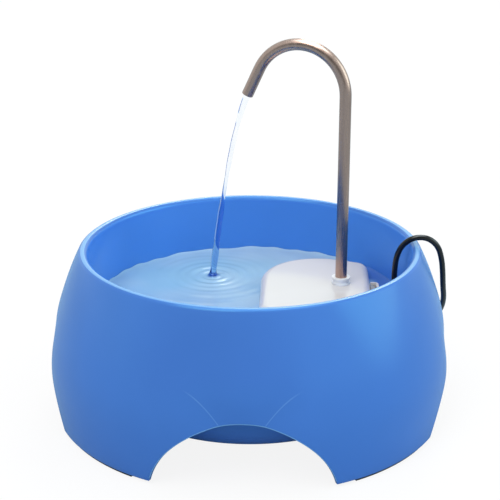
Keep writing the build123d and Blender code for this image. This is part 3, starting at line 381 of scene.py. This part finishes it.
LOOKS = {
    "bowl_feet": dark_rubber, "housing_base": white_shell, "suction_feet": clear_rubber,
    "housing_cover": white_shell, "spout_grommet": pale_rubber, "spout_tube": steel_tube,
    "outlet_sleeve": dark_rubber, "pump_casing": pump_black, "pump_front_cover": pump_black,
    "flow_dial": pump_black, "front_o_ring": dark_rubber, "impeller": wheel_white,
    "rotor_magnet": ferrite, "impeller_shaft": ceramic, "front_bush": dark_rubber,
    "rear_bush": dark_rubber, "stator_core": core_steel, "stator_coils": copper,
    "driver_board": board_green, "motor_potting": potting, "filter_frame": white_shell,
    "filter_cap": white_shell, "filter_sponge": sponge, "carbon_pad": carbon,
    "cotton_pad": cotton, "strain_relief": relief_grey, "plug_overmould": plug_black,
    "plug_shell": plated, "plug_tongue": tongue_white, "cord_tie": dark_rubber,
}


def dress(obj, *looks):
    """Gives the object these looks as its only materials."""
    obj.data.materials.clear()
    for look in looks:
        obj.data.materials.append(look.material)


for piece, piece_look in LOOKS.items():
    dress(nodes[piece], piece_look)

# ------------------------------------------------------------ cord
CORD_R, CORD_SIDES = 1.5, 12
HOUSING_RIGHT, GLAND_Y, GLAND_Z, GLAND_TILT = 63.0, 11.5, 47.5, math.radians(35)
CREST_Z = 90.4                        # of the cord's hook over the rim
COIL_X, COIL_Y = 6.0, 131.0           # the coil's centre
OUTER_R, STRAND, PER_TURN = 21.8, 3.05, 14
LAYER_TURNS = (3.15, 3.15, 2.34)
FIRST_LEVEL, LAYER_RISE, RISE_STEPS = 2.8, 3.1, 4
# the last turn: how far each point lies outside the coil's last strand, and how far above it
LEAVING = ((-0.3, 1.2), (1.0, 3.1), (3.6, 3.4), (6.0, 3.2), (8.4, 1.6), (10.0, -1.6), (10.7, -4.2))
PLUG_END = (-27.77, 120.09, 3.8)      # where the plug's bend relief starts
PLUG_WAY = (-0.9397, 0.342)           # and the direction in which it points


def on_relief(distance):
    """A point on the axis of the strain relief, at a distance from the housing's side."""
    return (HOUSING_RIGHT + distance * math.cos(GLAND_TILT), GLAND_Y,
            GLAND_Z + distance * math.sin(GLAND_TILT))


def coil_point(radius, turn, height):
    return COIL_X + radius * math.cos(turn), COIL_Y + radius * math.sin(turn), height


def before_plug(distance, aside, height):
    """A point before the plug, at a distance from its end and moved a little aside."""
    return (PLUG_END[0] - distance * PLUG_WAY[0],
            PLUG_END[1] - distance * PLUG_WAY[1] - aside, height)


def cord_route():
    """The cord's control points in mm, from the strain relief to the plug."""
    points = [
        on_relief(8.4), on_relief(11.6), on_relief(15.2),
        (75.0, 10.2, 64.2), (74.9, 8.9, 71.4), (75.4, 7.2, 79.0), (78.0, 5.8, 85.9),
        (83.6, 4.6, CREST_Z), (90.8, 4.6, CREST_Z), (96.4, 5.8, 85.6), (98.9, 8.2, 77.6),
        (100.2, 11.5, 68.8), (101.2, 16.0, 60.0), (103.0, 23.0, 49.5), (102.8, 33.0, 39.0),
        (99.0, 45.0, 28.5), (92.5, 58.0, 18.5), (83.0, 72.0, 9.5), (71.5, 86.0, 3.2),
        (58.0, 98.0, 1.6), (43.0, 106.0, 1.9), (30.0, 109.2, 2.8), (18.0, 109.2, 2.8),
    ]
    turn_step = 2 * math.pi / PER_TURN
    turn, level, radius, growth = 3 * QUARTER, FIRST_LEVEL, OUTER_R, -STRAND / PER_TURN
    for layer, turns in enumerate(LAYER_TURNS):
        for k in range(round(turns * PER_TURN)):
            if layer and k < RISE_STEPS:
                level += LAYER_RISE / RISE_STEPS
            # control points stand a little outside the circle that the curve follows
            points.append(coil_point(radius / math.cos(turn_step / 2), turn, level))
            turn -= turn_step
            radius += growth
        growth = -growth
    for out, lift in LEAVING:
        points.append(coil_point(radius + out, turn, level + lift))
        turn -= turn_step
    points.append(before_plug(15.0, aside=2.0, height=3.9))
    points.append(before_plug(6.0, aside=0.0, height=PLUG_END[2]))
    points.append(PLUG_END)
    return points


path = spline_points([mm(*point) for point in cord_route()], resolution=12)
cord = link("power_cord", tube_mesh("power_cord", path, [CORD_R * MM] * len(path), CORD_SIDES))
close_ends(cord.data, CORD_SIDES)
dress(cord, cord_black)
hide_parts("cord_inner_run", "cord_outer_run", "cord_coil", "cord_tail")
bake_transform(cord)

# ------------------------------------------------------------ bowl, in mm
BOWL_HEIGHT, RIM_CREST_R, LIP_R, LIP_FLARE, WALL = 87.0, 85.0, 2.6, math.radians(27), 2.5
SHOULDER_R, SHOULDER_Z, FLANK_R, FLANK_Z, BELLY_R, BELLY_Z = 96.5, 63.0, 100.2, 51.0, 103.7, 28.0
FOOT_R, PAD_HEIGHT = 101.5, 1.5
BASIN_FLOOR_Z, BASIN_FLOOR_R, BASIN_BEND_R, SKIN_GAP_TOP_Z = 11.2, 62.5, 16.0, 79.0
ARCH_R, ARCH_TOP_Z = 45.5, 36.0
PANEL_TOP_Z, PANEL_RECESS, PANEL_BULGE = 52.3, 3.1, 0.3
LEG_COUNT, LEG_SIDE_ANGLE, LEG_SIDE_SHIFT = 4, math.radians(18.7), 57.0
SOLE_WIDTH, SOLE_THICK = 9.0, 2.0
# how widely the creases and the panels' tops are rounded, and how far up the latter reaches
CREASE_SOFT, RIDGE_SOFT, RIDGE_RISE = 1.4, 1.6, 8.0
OUTER_EDGE = ((0.1, 0.3), (0.3, 0.1), (0.7, 0.0))       # inwards from the outer face, and up
INNER_EDGE = ((0.5, 0.0), (0.15, 0.15), (0.0, 0.5))     # outwards from the inner face, and up
# the outer skin's thickness above and below the panels' tops, and where its inner face ends
SKIN_UPPER, SKIN_LOWER, SKIN_TOP_Z = 1.15 * WALL, 1.05 * WALL, 74.5
ROOF_WIDTH, ROOF_DROP = 1.2, 1.5                        # of the gap between the skins
AXIS_GAP = 0.02                                         # keeps the mesh open at the axis
SOLE_ROUND, SOLE_INSET, SOLE_GAP = 0.3, 0.8, 0.2
# how finely the mesh follows the form
ARCH_COLUMNS, LEG_COLUMNS, ARCH_ROUNDS = 56, 34, 12
LIP_STEPS, WALL_STEPS, LOW_STEPS, SKIN_STEPS, SLOPE_STEPS = 8, 10, 32, 12, 6
BEND_STEPS, FLOOR_STEPS, BASIN_STEPS, SOLE_STEPS = 8, 5, 12, 24
SHARP_ANGLE = math.radians(50)

LIP_Z = BOWL_HEIGHT - LIP_R
LIP_START_R = RIM_CREST_R + LIP_R * math.cos(LIP_FLARE)
LIP_START_Z = LIP_Z + LIP_R * math.sin(LIP_FLARE)
BASIN_WALL_R = RIM_CREST_R - LIP_R
BEND_TOP_R = BASIN_FLOOR_R + BASIN_BEND_R
BEND_TOP_Z = BASIN_FLOOR_Z + BASIN_BEND_R
FOOT_ARC = ((BELLY_Z - PAD_HEIGHT) ** 2 + (BELLY_R - FOOT_R) ** 2) / (2 * (BELLY_R - FOOT_R))
ARCH_HALF = math.sqrt(ARCH_R**2 - (PAD_HEIGHT - ARCH_TOP_Z + ARCH_R) ** 2)    # at the soles


def clamped_spline(xs, ys, slope_start, slope_end):
    """A cubic spline through the points with the given end slopes, as a function."""
    count = len(xs)
    rows = [[0.0] * count for _ in range(count)]
    right = [0.0] * count
    rows[0][0] = rows[-1][-1] = 1.0
    right[0], right[-1] = slope_start, slope_end
    for i in range(1, count - 1):
        h0, h1 = xs[i] - xs[i - 1], xs[i + 1] - xs[i]
        rows[i][i - 1], rows[i][i], rows[i][i + 1] = h1, 2 * (h0 + h1), h0
        right[i] = 3 * (h1 * (ys[i] - ys[i - 1]) / h0 + h0 * (ys[i + 1] - ys[i]) / h1)
    for i in range(1, count):
        factor = rows[i][i - 1] / rows[i - 1][i - 1]
        for j in range(count):
            rows[i][j] -= factor * rows[i - 1][j]
        right[i] -= factor * right[i - 1]
    slopes = [0.0] * count
    for i in reversed(range(count)):
        rest = sum(rows[i][j] * slopes[j] for j in range(i + 1, count))
        slopes[i] = (right[i] - rest) / rows[i][i]

    def value(x):
        i = max(k for k in range(count - 1) if x >= xs[k] or k == 0)
        h = xs[i + 1] - xs[i]
        t = (x - xs[i]) / h
        y = (2 * t**3 - 3 * t**2 + 1) * ys[i] + (t**3 - 2 * t**2 + t) * slopes[i] * h
        return y + (-2 * t**3 + 3 * t**2) * ys[i + 1] + (t**3 - t**2) * slopes[i + 1] * h

    return value


upper_wall_radius = clamped_spline(
    [BELLY_Z, FLANK_Z, SHOULDER_Z, LIP_START_Z], [BELLY_R, FLANK_R, SHOULDER_R, LIP_START_R],
    0.0, -math.tan(LIP_FLARE))


def wall_radius(z):
    """The outer wall without its panels: a spline down to the belly, and an arc below it."""
    if z >= BELLY_Z:
        return upper_wall_radius(z)
    return BELLY_R - FOOT_ARC + math.sqrt(FOOT_ARC**2 - (BELLY_Z - z) ** 2)


PANEL_HIGH_R = wall_radius(PANEL_TOP_Z)
PANEL_LOW_R = wall_radius(ARCH_TOP_Z) - PANEL_RECESS


def panel_radius(z):
    """The recessed surface over an arch, carried on past its ends."""
    share = max(-1.0, (PANEL_TOP_Z - z) / (PANEL_TOP_Z - ARCH_TOP_Z))
    if share > 1.0:
        return PANEL_LOW_R
    plain = PANEL_HIGH_R + (PANEL_LOW_R - PANEL_HIGH_R) * share
    return plain + 4 * PANEL_BULGE * share * (1 - share)


def soft_max(a, b, width):
    """The larger of two values, rounded where they are closer than the width."""
    near = max(0.0, width - abs(a - b)) / width
    return max(a, b) + near * near * width / 4


def soft_min(a, b, width):
    return -soft_max(-a, -b, width)


def folded(theta):
    """The angle from the nearest arch's middle."""
    return theta - QUARTER * round(theta / QUARTER)


def outside_radius(theta, z):
    """The outer wall with its recessed panels; the legs' sides curve in to soft creases."""
    wall = wall_radius(z)
    if z >= PANEL_TOP_Z + RIDGE_RISE:
        return wall
    panel = soft_min(wall, panel_radius(z), RIDGE_SOFT)
    turn = LEG_SIDE_ANGLE - abs(folded(theta))
    if turn <= 0:
        return wall
    side = LEG_SIDE_SHIFT * math.cos(turn)
    side += math.sqrt((wall - LEG_SIDE_SHIFT) ** 2 - (LEG_SIDE_SHIFT * math.sin(turn)) ** 2)
    return min(wall, soft_max(panel, side, CREASE_SOFT))


def arch_bottom(theta):
    """The lowest height of the wall at this angle: on the arch, or on the sole."""
    z = PAD_HEIGHT
    for _ in range(ARCH_ROUNDS):
        side = abs(outside_radius(theta, z) * math.sin(folded(theta)))
        if side >= ARCH_R:
            return PAD_HEIGHT
        z = max(PAD_HEIGHT, ARCH_TOP_Z - ARCH_R + math.sqrt(ARCH_R**2 - side**2))
    return z


def bowl_angles():
    """The angles of the mesh's sections, closest at the arches' feet."""
    end = math.asin(ARCH_HALF / FOOT_R)
    quarter = [-end * math.cos(turn) for turn in even(0.0, math.pi, ARCH_COLUMNS, first=0)]
    quarter += even(end, QUARTER - end, LEG_COLUMNS)[:-1]
    return [theta + QUARTER * turn for turn in range(LEG_COUNT) for theta in quarter]


def arc(centre_r, centre_z, radius, start, end, steps):
    """Points of a section along an arc, without the one at its start."""
    return [(centre_r + radius * math.cos(turn), centre_z + radius * math.sin(turn))
            for turn in even(start, end, steps)]


def straight(start, end, steps):
    """Points of a section along a line, without the one at its start."""
    return list(zip(even(start[0], end[0], steps), even(start[1], end[1], steps)))


def skin_radius(theta, z):
    """The inner face of the outer skin."""
    if z > PANEL_TOP_Z:
        return wall_radius(z) - SKIN_UPPER
    return outside_radius(theta, z) - SKIN_LOWER


def bowl_section(theta):
    """The closed section of the bowl at one angle, as (radius, height) points."""
    bottom = arch_bottom(theta)
    low = outside_radius(theta, bottom)
    plain_end = PANEL_TOP_Z + RIDGE_RISE
    # the lip's outer side and the outer face, down to the edge over an arch or a sole
    points = [(RIM_CREST_R, BOWL_HEIGHT)]
    points += arc(RIM_CREST_R, LIP_Z, LIP_R, QUARTER, LIP_FLARE, LIP_STEPS)
    points += [(wall_radius(z), z) for z in even(LIP_START_Z, plain_end, WALL_STEPS)]
    edge_top = bottom + OUTER_EDGE[-1][0]
    points += [(outside_radius(theta, z), z) for z in even(plain_end, edge_top, LOW_STEPS)]
    points += [(low - inwards, bottom + up) for inwards, up in OUTER_EDGE]
    points += [(low - WALL + outwards, bottom + up) for outwards, up in INNER_EDGE]
    # the outer skin's inner face, up to the roof of the gap between the skins
    skin_low = bottom + INNER_EDGE[-1][1]
    points += [(skin_radius(theta, z), z) for z in even(skin_low, SKIN_TOP_Z, SKIN_STEPS)]
    under_roof = (BASIN_WALL_R + WALL, SKIN_GAP_TOP_Z - ROOF_DROP)
    points += [(BASIN_WALL_R + WALL + ROOF_WIDTH, SKIN_GAP_TOP_Z), under_roof]
    # the basin's underside, to the axis
    points += straight(under_roof, (BEND_TOP_R + WALL, BEND_TOP_Z), SLOPE_STEPS)
    points += arc(BASIN_FLOOR_R, BEND_TOP_Z, BASIN_BEND_R + WALL, 0.0, -QUARTER, BEND_STEPS)
    points += [(r + AXIS_GAP, BASIN_FLOOR_Z - WALL) for r in even(BASIN_FLOOR_R, 0.0, FLOOR_STEPS)]
    # the basin, and the lip's inner side up to the crest
    points.append((AXIS_GAP, BASIN_FLOOR_Z))
    points += [(r, BASIN_FLOOR_Z) for r in even(0.0, BASIN_FLOOR_R, FLOOR_STEPS)]
    points += arc(BASIN_FLOOR_R, BEND_TOP_Z, BASIN_BEND_R, -QUARTER, 0.0, BEND_STEPS)
    points += straight((BEND_TOP_R, BEND_TOP_Z), (BASIN_WALL_R, LIP_Z), BASIN_STEPS)
    points += arc(RIM_CREST_R, LIP_Z, LIP_R, math.pi, QUARTER, LIP_STEPS)[:-1]
    return points


def add_sole(work, middle):
    """Adds the flange that turns inwards under one leg, as a strip with closed ends."""
    outer, inner = FOOT_R - SOLE_INSET, FOOT_R - SOLE_WIDTH
    top = PAD_HEIGHT + SOLE_THICK
    outline = (
        (outer, PAD_HEIGHT), (inner + SOLE_ROUND, PAD_HEIGHT), (inner, PAD_HEIGHT + SOLE_ROUND),
        (inner, top - SOLE_ROUND), (inner + SOLE_ROUND, top), (outer, top),
    )
    sections = []
    for share in even(-1.0, 1.0, SOLE_STEPS, first=0):
        section = []
        for r, z in outline:
            theta = middle + (QUARTER / 2 - math.asin((ARCH_HALF + SOLE_GAP) / r)) * share
            section.append(work.verts.new(mm(r * math.cos(theta), r * math.sin(theta), z)))
        sections.append(section)
    made = []
    for a, b in zip(sections, sections[1:]):
        for k in range(len(outline)):
            j = (k + 1) % len(outline)
            made.append(work.faces.new((a[k], a[j], b[j], b[k])))
    made.append(work.faces.new(sections[0]))
    made.append(work.faces.new(sections[-1][::-1]))
    for face in made:
        face.smooth = True


def bowl_mesh():
    """The double-walled bowl with the soles under its legs."""
    sections = []
    for theta in bowl_angles():
        outwards = Vector((math.cos(theta), math.sin(theta), 0.0))
        sections.append([(outwards * r + Vector((0, 0, z))) * MM for r, z in bowl_section(theta)])
    mesh = grid_mesh("bowl_shell", sections, close_rings=True)
    work = bmesh.new()
    work.from_mesh(mesh)
    bmesh.ops.recalc_face_normals(work, faces=work.faces)
    for leg in range(LEG_COUNT):
        add_sole(work, QUARTER / 2 + QUARTER * leg)
    work.to_mesh(mesh)
    work.free()
    mesh.set_sharp_from_angle(angle=SHARP_ANGLE)
    return mesh


def basin_radius(z):
    """The basin's wall, and the bend between it and the floor."""
    if z >= BEND_TOP_Z:
        share = (z - BEND_TOP_Z) / (LIP_Z - BEND_TOP_Z)
        return BEND_TOP_R + (BASIN_WALL_R - BEND_TOP_R) * share
    return BASIN_FLOOR_R + math.sqrt(max(0.0, BASIN_BEND_R**2 - (BEND_TOP_Z - z) ** 2))


NEAR = 0.5              # mm from a surface that still counts as on it
EDGE_REACH = 0.75       # mm from an arch's edge that its rounding takes
ARCH_FROM = 1.0         # mm above the soles from which the wall's bottom is an arch's edge
CREST_FROM = 0.87       # share of the lip's height from which its top is an edge


def in_basin(point):
    """Whether a point of the bowl is on the inner skin, below the crest of the rim, which is
    painted lighter as painted light.
    """
    radius = math.hypot(point.x, point.y)
    if radius >= basin_radius(point.z) + NEAR:
        return False
    if point.z >= BEND_TOP_Z:
        return radius < BASIN_WALL_R + NEAR
    return point.z > BASIN_FLOOR_Z - NEAR


def on_edge(point):
    """Whether a point of the bowl is on the rim's crest or the rounded outer edge of an arch,
    where a highlight is painted.
    """
    if point.z > LIP_Z + CREST_FROM * LIP_R:
        return True
    theta = math.atan2(point.y, point.x)
    bottom = arch_bottom(theta)
    inwards = outside_radius(theta, bottom) - math.hypot(point.x, point.y)
    up = point.z - bottom
    if bottom <= PAD_HEIGHT + ARCH_FROM:
        return False
    return -NEAR < up < EDGE_REACH and -NEAR < inwards < EDGE_REACH


# a painted highlight along each crease, where a leg's side meets the panel over an arch, in mm
CREASE_LINE = (15.59, 2.249, -0.0343)     # its height, as a curve of the distance sideways
CREASE_START, CREASE_END = (10.2, 11.0), (20.0, 28.0)
CREASE_EDGE, CREASE_STRENGTH, CREASE_HIGHLIGHT = (0.15, 0.55), 0.32, srgb(124, 172, 228)


def add_crease_highlight(look):
    """A thin painted highlight along each crease."""
    plain = look.shader.inputs["Base Color"].links[0].from_socket
    sideways = look.maths("MINIMUM", look.maths("ABSOLUTE", look.axis("X")),
                          look.maths("ABSOLUTE", look.axis("Y")))
    sideways = look.maths("DIVIDE", sideways, MM)
    slope = look.maths("MULTIPLY_ADD", sideways, CREASE_LINE[2], CREASE_LINE[1])
    height = look.maths("MULTIPLY_ADD", slope, sideways, CREASE_LINE[0])
    off = look.maths("SUBTRACT", look.maths("DIVIDE", look.axis("Z"), MM), height)
    span = look.maths("SUBTRACT", look.spread(sideways, 1.0, 0.0, *CREASE_END),
                      look.spread(sideways, 1.0, 0.0, *CREASE_START))
    line = look.spread(look.maths("ABSOLUTE", off), 1.0, 0.0, *CREASE_EDGE)
    line = look.maths("MULTIPLY", line, look.maths("MAXIMUM", span, 0.0))
    line = look.maths("MULTIPLY", line, CREASE_STRENGTH)
    look.set(Base_Color=look.mixed_colour(line, plain, CREASE_HIGHLIGHT))


bowl_shell = link("bowl_shell", bowl_mesh())
dress(bowl_shell, bowl_blue, basin_painted_light, painted_edge_highlight)
for polygon in bowl_shell.data.polygons:
    corners = [bowl_shell.data.vertices[k].co / MM for k in polygon.vertices]
    # the basin's faces take the lighter copy of the blue, which is painted light
    if all(in_basin(corner) for corner in corners):
        polygon.material_index = 1
    # the rim's crest and the arches' rounded edges take the lighter blue, a painted highlight
    elif all(on_edge(corner) for corner in corners):
        polygon.material_index = 2
add_crease_highlight(bowl_blue)
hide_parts("bowl")
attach(bowl_shell, "bowl_unit")

# ------------------------------------------------------------ water, in mm
WATER_Z, WATER_IOR = 56.5, 1.33
IMPACT = (-21.1, 35.2)                    # where the stream lands
SHORE_GAP, SHORE_RISE, SHORE_REACH = 0.12, 0.7, 1.2
WATER_RINGS, WATER_SPOKES, RING_GROWTH, HOLE_R = 120, 180, 1.35, 0.02
# the heights and forms of the waves: rings and a broader wave from the stream, slow waves all
# over, and waves round the shore by their height, their number round the basin and their reach
RING_LIFT, RING_START, RINGS = 0.36, 2.5, {"pitch": 5.6, "phase": -0.6, "reach": 13.0}
BROAD_LIFT, BROAD = 0.14, {"pitch": 13.0, "phase": 0.8, "reach": 34.0}
SLOW_LIFT = 0.22
COARSE_SHORE, FINE_SHORE = (0.3, 13, 9.0), (0.28, 31, 4.0)
WATER_BLUE, WATER_PALE, WATER_SHADE_BLUE = srgb(164, 211, 240), srgb(198, 229, 248), srgb(58, 108, 206)
# where painted shade turns the water's colour deeper blue, in metres, and by how much
IMPACT_SHADE = (0.0012, 0.0045)                 # round the stream
SHADE_EDGE, SHADE_WAVER, SHADE_DEPTH = (0.074, 0.082), 0.03, 0.85   # right of the pump's cover
NEAR_SIDE, NEAR_SHADE = (-0.025, 0.045), 0.3                        # towards the front


def wave(distance, pitch, phase, reach):
    """A round wave that dies out with the distance."""
    return math.sin(2 * math.pi * distance / pitch + phase) * math.exp(-distance / reach)


def ripple(x, y):
    """How far the water stands above its level: rings, slow waves and a wavy shore."""
    distance = math.hypot(x - IMPACT[0], y - IMPACT[1])
    rings = RING_LIFT * wave(distance, **RINGS) * min(1.0, distance / RING_START)
    rings += BROAD_LIFT * wave(distance, **BROAD)
    slow = SLOW_LIFT * math.sin(x * 0.085 + 0.9) * math.sin(y * 0.11 + x * 0.03)
    turn = math.atan2(y, x)
    inside = basin_radius(WATER_Z) - math.hypot(x, y)
    lift, count, reach = COARSE_SHORE
    shore = lift * math.sin(count * turn + 0.4) * math.exp(-inside / reach)
    lift, count, reach = FINE_SHORE
    shore += lift * math.sin(count * turn + 2.0 * math.sin(5 * turn)) * math.exp(-inside / reach)
    return rings + slow + shore


def water_mesh():
    """The pool's surface, as rings from where the stream lands out to the basin's wall."""
    centre = Vector(IMPACT)
    edge = basin_radius(WATER_Z) - SHORE_GAP
    rings = []
    for share in even(0.0, 1.0, WATER_RINGS, first=0):
        ring = []
        for turn in around(WATER_SPOKES):
            spoke = Vector((math.cos(turn), math.sin(turn)))
            # distance from the stream to the basin's wall along this spoke
            b = centre.dot(spoke)
            reach = -b + math.sqrt(b * b - centre.dot(centre) + edge * edge)
            point = centre + spoke * max(HOLE_R, reach * share**RING_GROWTH)
            rise = SHORE_RISE * math.exp(-(edge - point.length) / SHORE_REACH)
            ring.append(mm(point.x, point.y, WATER_Z + ripple(point.x, point.y) + rise))
        rings.append(ring)
    return grid_mesh("water_surface", rings)


def water_look():
    """Pale water with painted shade: deeper blue round where the stream lands, as a painted shadow
    right of the pump's cover, and towards the front.
    """
    look = Look("water_top")
    pale = look.ramp(look.noise(scale=17.0, detail=2.0), (0.3, WATER_BLUE), (0.7, WATER_PALE))
    landing = look.vector_maths("DISTANCE", look.coords, mm(*IMPACT, WATER_Z))
    impact_shade = look.spread(landing, 1.0, 0.0, *IMPACT_SHADE)
    waves = look.noise(scale=60.0, detail=2.0, vector=look.scaled(0.6, 1.0, 1.0))
    wavering = look.maths("MULTIPLY_ADD", waves, SHADE_WAVER, look.axis("X"))
    shadow = look.spread(wavering, 0.0, SHADE_DEPTH, *SHADE_EDGE)
    near_side = look.spread(look.axis("Y"), NEAR_SHADE, 0.0, *NEAR_SIDE)
    # the painted shade: round the landing point, the cover's painted shadow, and towards the front
    painted_shade = look.maths("MAXIMUM", impact_shade, look.maths("MAXIMUM", shadow, near_side))
    look.set(Base_Color=look.mixed_colour(painted_shade, pale, WATER_SHADE_BLUE),
             Roughness=0.05, IOR=WATER_IOR, Alpha=0.8)
    look.bump(look.noise(scale=55.0, detail=3.0), strength=0.12, distance=0.002)
    return look


water = link("water_surface", water_mesh())
dress(water, water_look())
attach(water, "bowl_unit")

# ------------------------------------------------------------ stream, in mm and seconds
TIP = Vector((-2.2, 27.6, 158.9))
HEADING, TILT = math.radians(158.6), math.radians(25.5)
SPEED, GRAVITY = 440.0, 9810.0
STREAM_STEPS, STREAM_SIDES, STREAM_SQUASH = 90, 16, 0.8
STREAM_R = 1.9
SWELL, SWELL_TOP, SWELL_SPAN = 0.8, 48.0, 22.0       # it is wider again in its lower part
FLARE, FLARE_SPAN = 1.2, 4.0                         # and where it meets the water
WOBBLES = ((0.09, 0.21, 0.0), (0.05, 0.47, 1.0))     # strength, turn for each mm, and phase
# the blue in the stream's lower part is a painted reflection of the blue bowl
REFLECTION_SPAN = (0.094, 0.112)                           # heights in metres where it turns blue
STREAM_CLEAR, STREAM_WHITE = srgb(240, 247, 253), srgb(254, 255, 255)
STREAM_REFLECTED_BLUE = srgb(166, 202, 240)


def stream_course():
    """Points and radii in metres; the water leaves along the tail and speeds up as it falls."""
    sideways, down = SPEED * math.sin(TILT), SPEED * math.cos(TILT)
    way = Vector((math.cos(HEADING) * math.sin(TILT), math.sin(HEADING) * math.sin(TILT),
                  -math.cos(TILT)))
    fall = (-down + math.sqrt(down**2 + 2 * GRAVITY * (TIP.z - WATER_Z))) / GRAVITY
    course, radii = [], []
    for t in even(0.0, fall, STREAM_STEPS, first=0):
        point = TIP + way * SPEED * t + Vector((0, 0, -0.5 * GRAVITY * t * t))
        height = point.z - WATER_Z
        thinning = math.sqrt(SPEED / math.hypot(sideways, down + GRAVITY * t))
        body = STREAM_R * thinning + SWELL * smooth((SWELL_TOP - height) / SWELL_SPAN)
        wobble = 1 + sum(much * math.sin(point.z * turn + phase) for much, turn, phase in WOBBLES)
        foot = FLARE * (1 - smooth(height / FLARE_SPAN)) ** 2
        course.append(point * MM)
        radii.append((body * wobble + foot) * MM)
    return course, radii


def stream_look():
    """Clear, faintly streaked water with a painted blue reflection of the bowl in its lower part.
    """
    look = Look("stream_water")
    streaks = look.noise(scale=300.0, detail=2.0, vector=look.scaled(1.0, 1.0, 0.25))
    clear = look.ramp(streaks, (0.3, STREAM_CLEAR), (0.7, STREAM_WHITE))
    low = look.spread(look.axis("Z"), 1.0, 0.0, *REFLECTION_SPAN)
    look.set(Base_Color=look.mixed_colour(low, clear, STREAM_REFLECTED_BLUE),
             Roughness=0.0, IOR=WATER_IOR, Transmission_Weight=1.0)
    ribs = look.noise(scale=420.0, detail=2.0, vector=look.scaled(1.0, 1.0, 0.15))
    look.bump(ribs, strength=0.12, distance=0.0004)
    return look


stream = link("falling_stream", tube_mesh("falling_stream", *stream_course(), STREAM_SIDES,
                                          STREAM_SQUASH))
dress(stream, stream_look())
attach(stream, "spout")

# ------------------------------------------------------------ studio
WORLD_LIGHT = 0.78
DARK_SIDE, DARK_LEVEL = Vector((-0.3, -0.95, 0.05)).normalized(), 0.28
BACK_SIDE, BACKLIGHT = Vector((-0.1, 0.93, 0.33)).normalized(), 0.25
SKYLIGHT = 4.6
# cosines between a ray and the dark side, the sky or the back, over which each one fades in
DARK_SPAN, SKY_SPAN, BACK_SPAN = (0.5, 0.92), (0.86, 0.94), (0.9, 0.985)
WHITE, ROOM_WHITE, MIRROR_BLUE = (1.0, 1.0, 1.0), (0.95, 0.975, 1.0), (0.8, 0.95, 1.0)
FLOOR_BOUNCE, FLOOR_GLOW, FLOOR_HALF = (0.42, 0.52, 0.58), 0.88, 30


def studio_world():
    """White all round for the camera; what gloss mirrors is darker on the camera's side."""
    world = bpy.data.worlds.new("studio")
    world.use_nodes = True
    world.node_tree.nodes.clear()
    sky = Tree(world.node_tree, "Generated")
    level = sky.spread(sky.vector_maths("DOT_PRODUCT", sky.coords, DARK_SIDE),
                       1.0, DARK_LEVEL, *DARK_SPAN)
    window = sky.spread(sky.vector_maths("DOT_PRODUCT", sky.coords, BACK_SIDE),
                        0.0, BACKLIGHT, *BACK_SPAN)
    overhead = sky.spread(sky.axis("Z"), 0.0, SKYLIGHT, *SKY_SPAN)
    mirrored = sky.maths("ADD", level, sky.maths("ADD", window, overhead))
    lit, glossy, white = [
        sky.add("ShaderNodeBackground", Color=opaque(colour), Strength=strength).outputs[0]
        for colour, strength in ((ROOM_WHITE, WORLD_LIGHT), (MIRROR_BLUE, mirrored), (WHITE, 1.0))
    ]
    is_glossy = sky.add("ShaderNodeLightPath").outputs["Is Glossy Ray"]
    room = sky.mixed_shader(is_glossy, lit, glossy)
    sky.add("ShaderNodeOutputWorld", Surface=sky.mixed_shader(sky.clear_rays(), room, white))
    bpy.context.scene.world = world


def floor_look():
    """White paper for the camera, with the object's shadow; it throws less light back up."""
    look = Look("floor_paper")
    paper = look.ramp(look.noise(scale=3.0, detail=2.0),
                      (0.2, (0.94, 0.94, 0.94)), (0.8, (0.96, 0.96, 0.96)))
    look.set(Base_Color=paper, Roughness=0.95)
    glow = look.add("ShaderNodeEmission", Color=opaque(WHITE)).outputs[0]
    dimmed = look.add("ShaderNodeBsdfDiffuse", Color=opaque(FLOOR_BOUNCE)).outputs[0]
    white = look.mixed_shader(FLOOR_GLOW, look.shader.outputs[0], glow)
    either = look.mixed_shader(look.clear_rays(), dimmed, white)
    look.feed(look.tree.nodes["Material Output"].inputs["Surface"], either)
    return look


def sun(name, where, strength, spread, colour=(1, 1, 1)):
    """A distant soft lamp, which lights the whole floor alike."""
    lamp = bpy.data.lights.new(name, "SUN")
    lamp.energy = strength
    lamp.angle = math.radians(spread)
    lamp.color = colour
    aim(link(name, lamp), Vector(where), Vector((0, 0, 0)))


studio_world()

floor_mesh = bpy.data.meshes.new("floor")
floor_mesh.from_pydata(
    [(FLOOR_HALF * x, FLOOR_HALF * y, 0) for x, y in ((-1, -1), (1, -1), (1, 1), (-1, 1))],
    [], [(0, 1, 2, 3)])
floor = link("floor", floor_mesh)
dress(floor, floor_look())

sun("key", (-0.45, -0.65, 1.15), strength=0.95, spread=30.0, colour=(1.0, 0.985, 0.95))
sun("fill", (1.0, -0.05, 0.45), strength=0.98, spread=45.0, colour=(0.72, 0.98, 1.0))
sun("back", (0.15, 1.0, 0.8), strength=0.6, spread=22.0)

bpy.context.scene.view_settings.view_transform = "Standard"
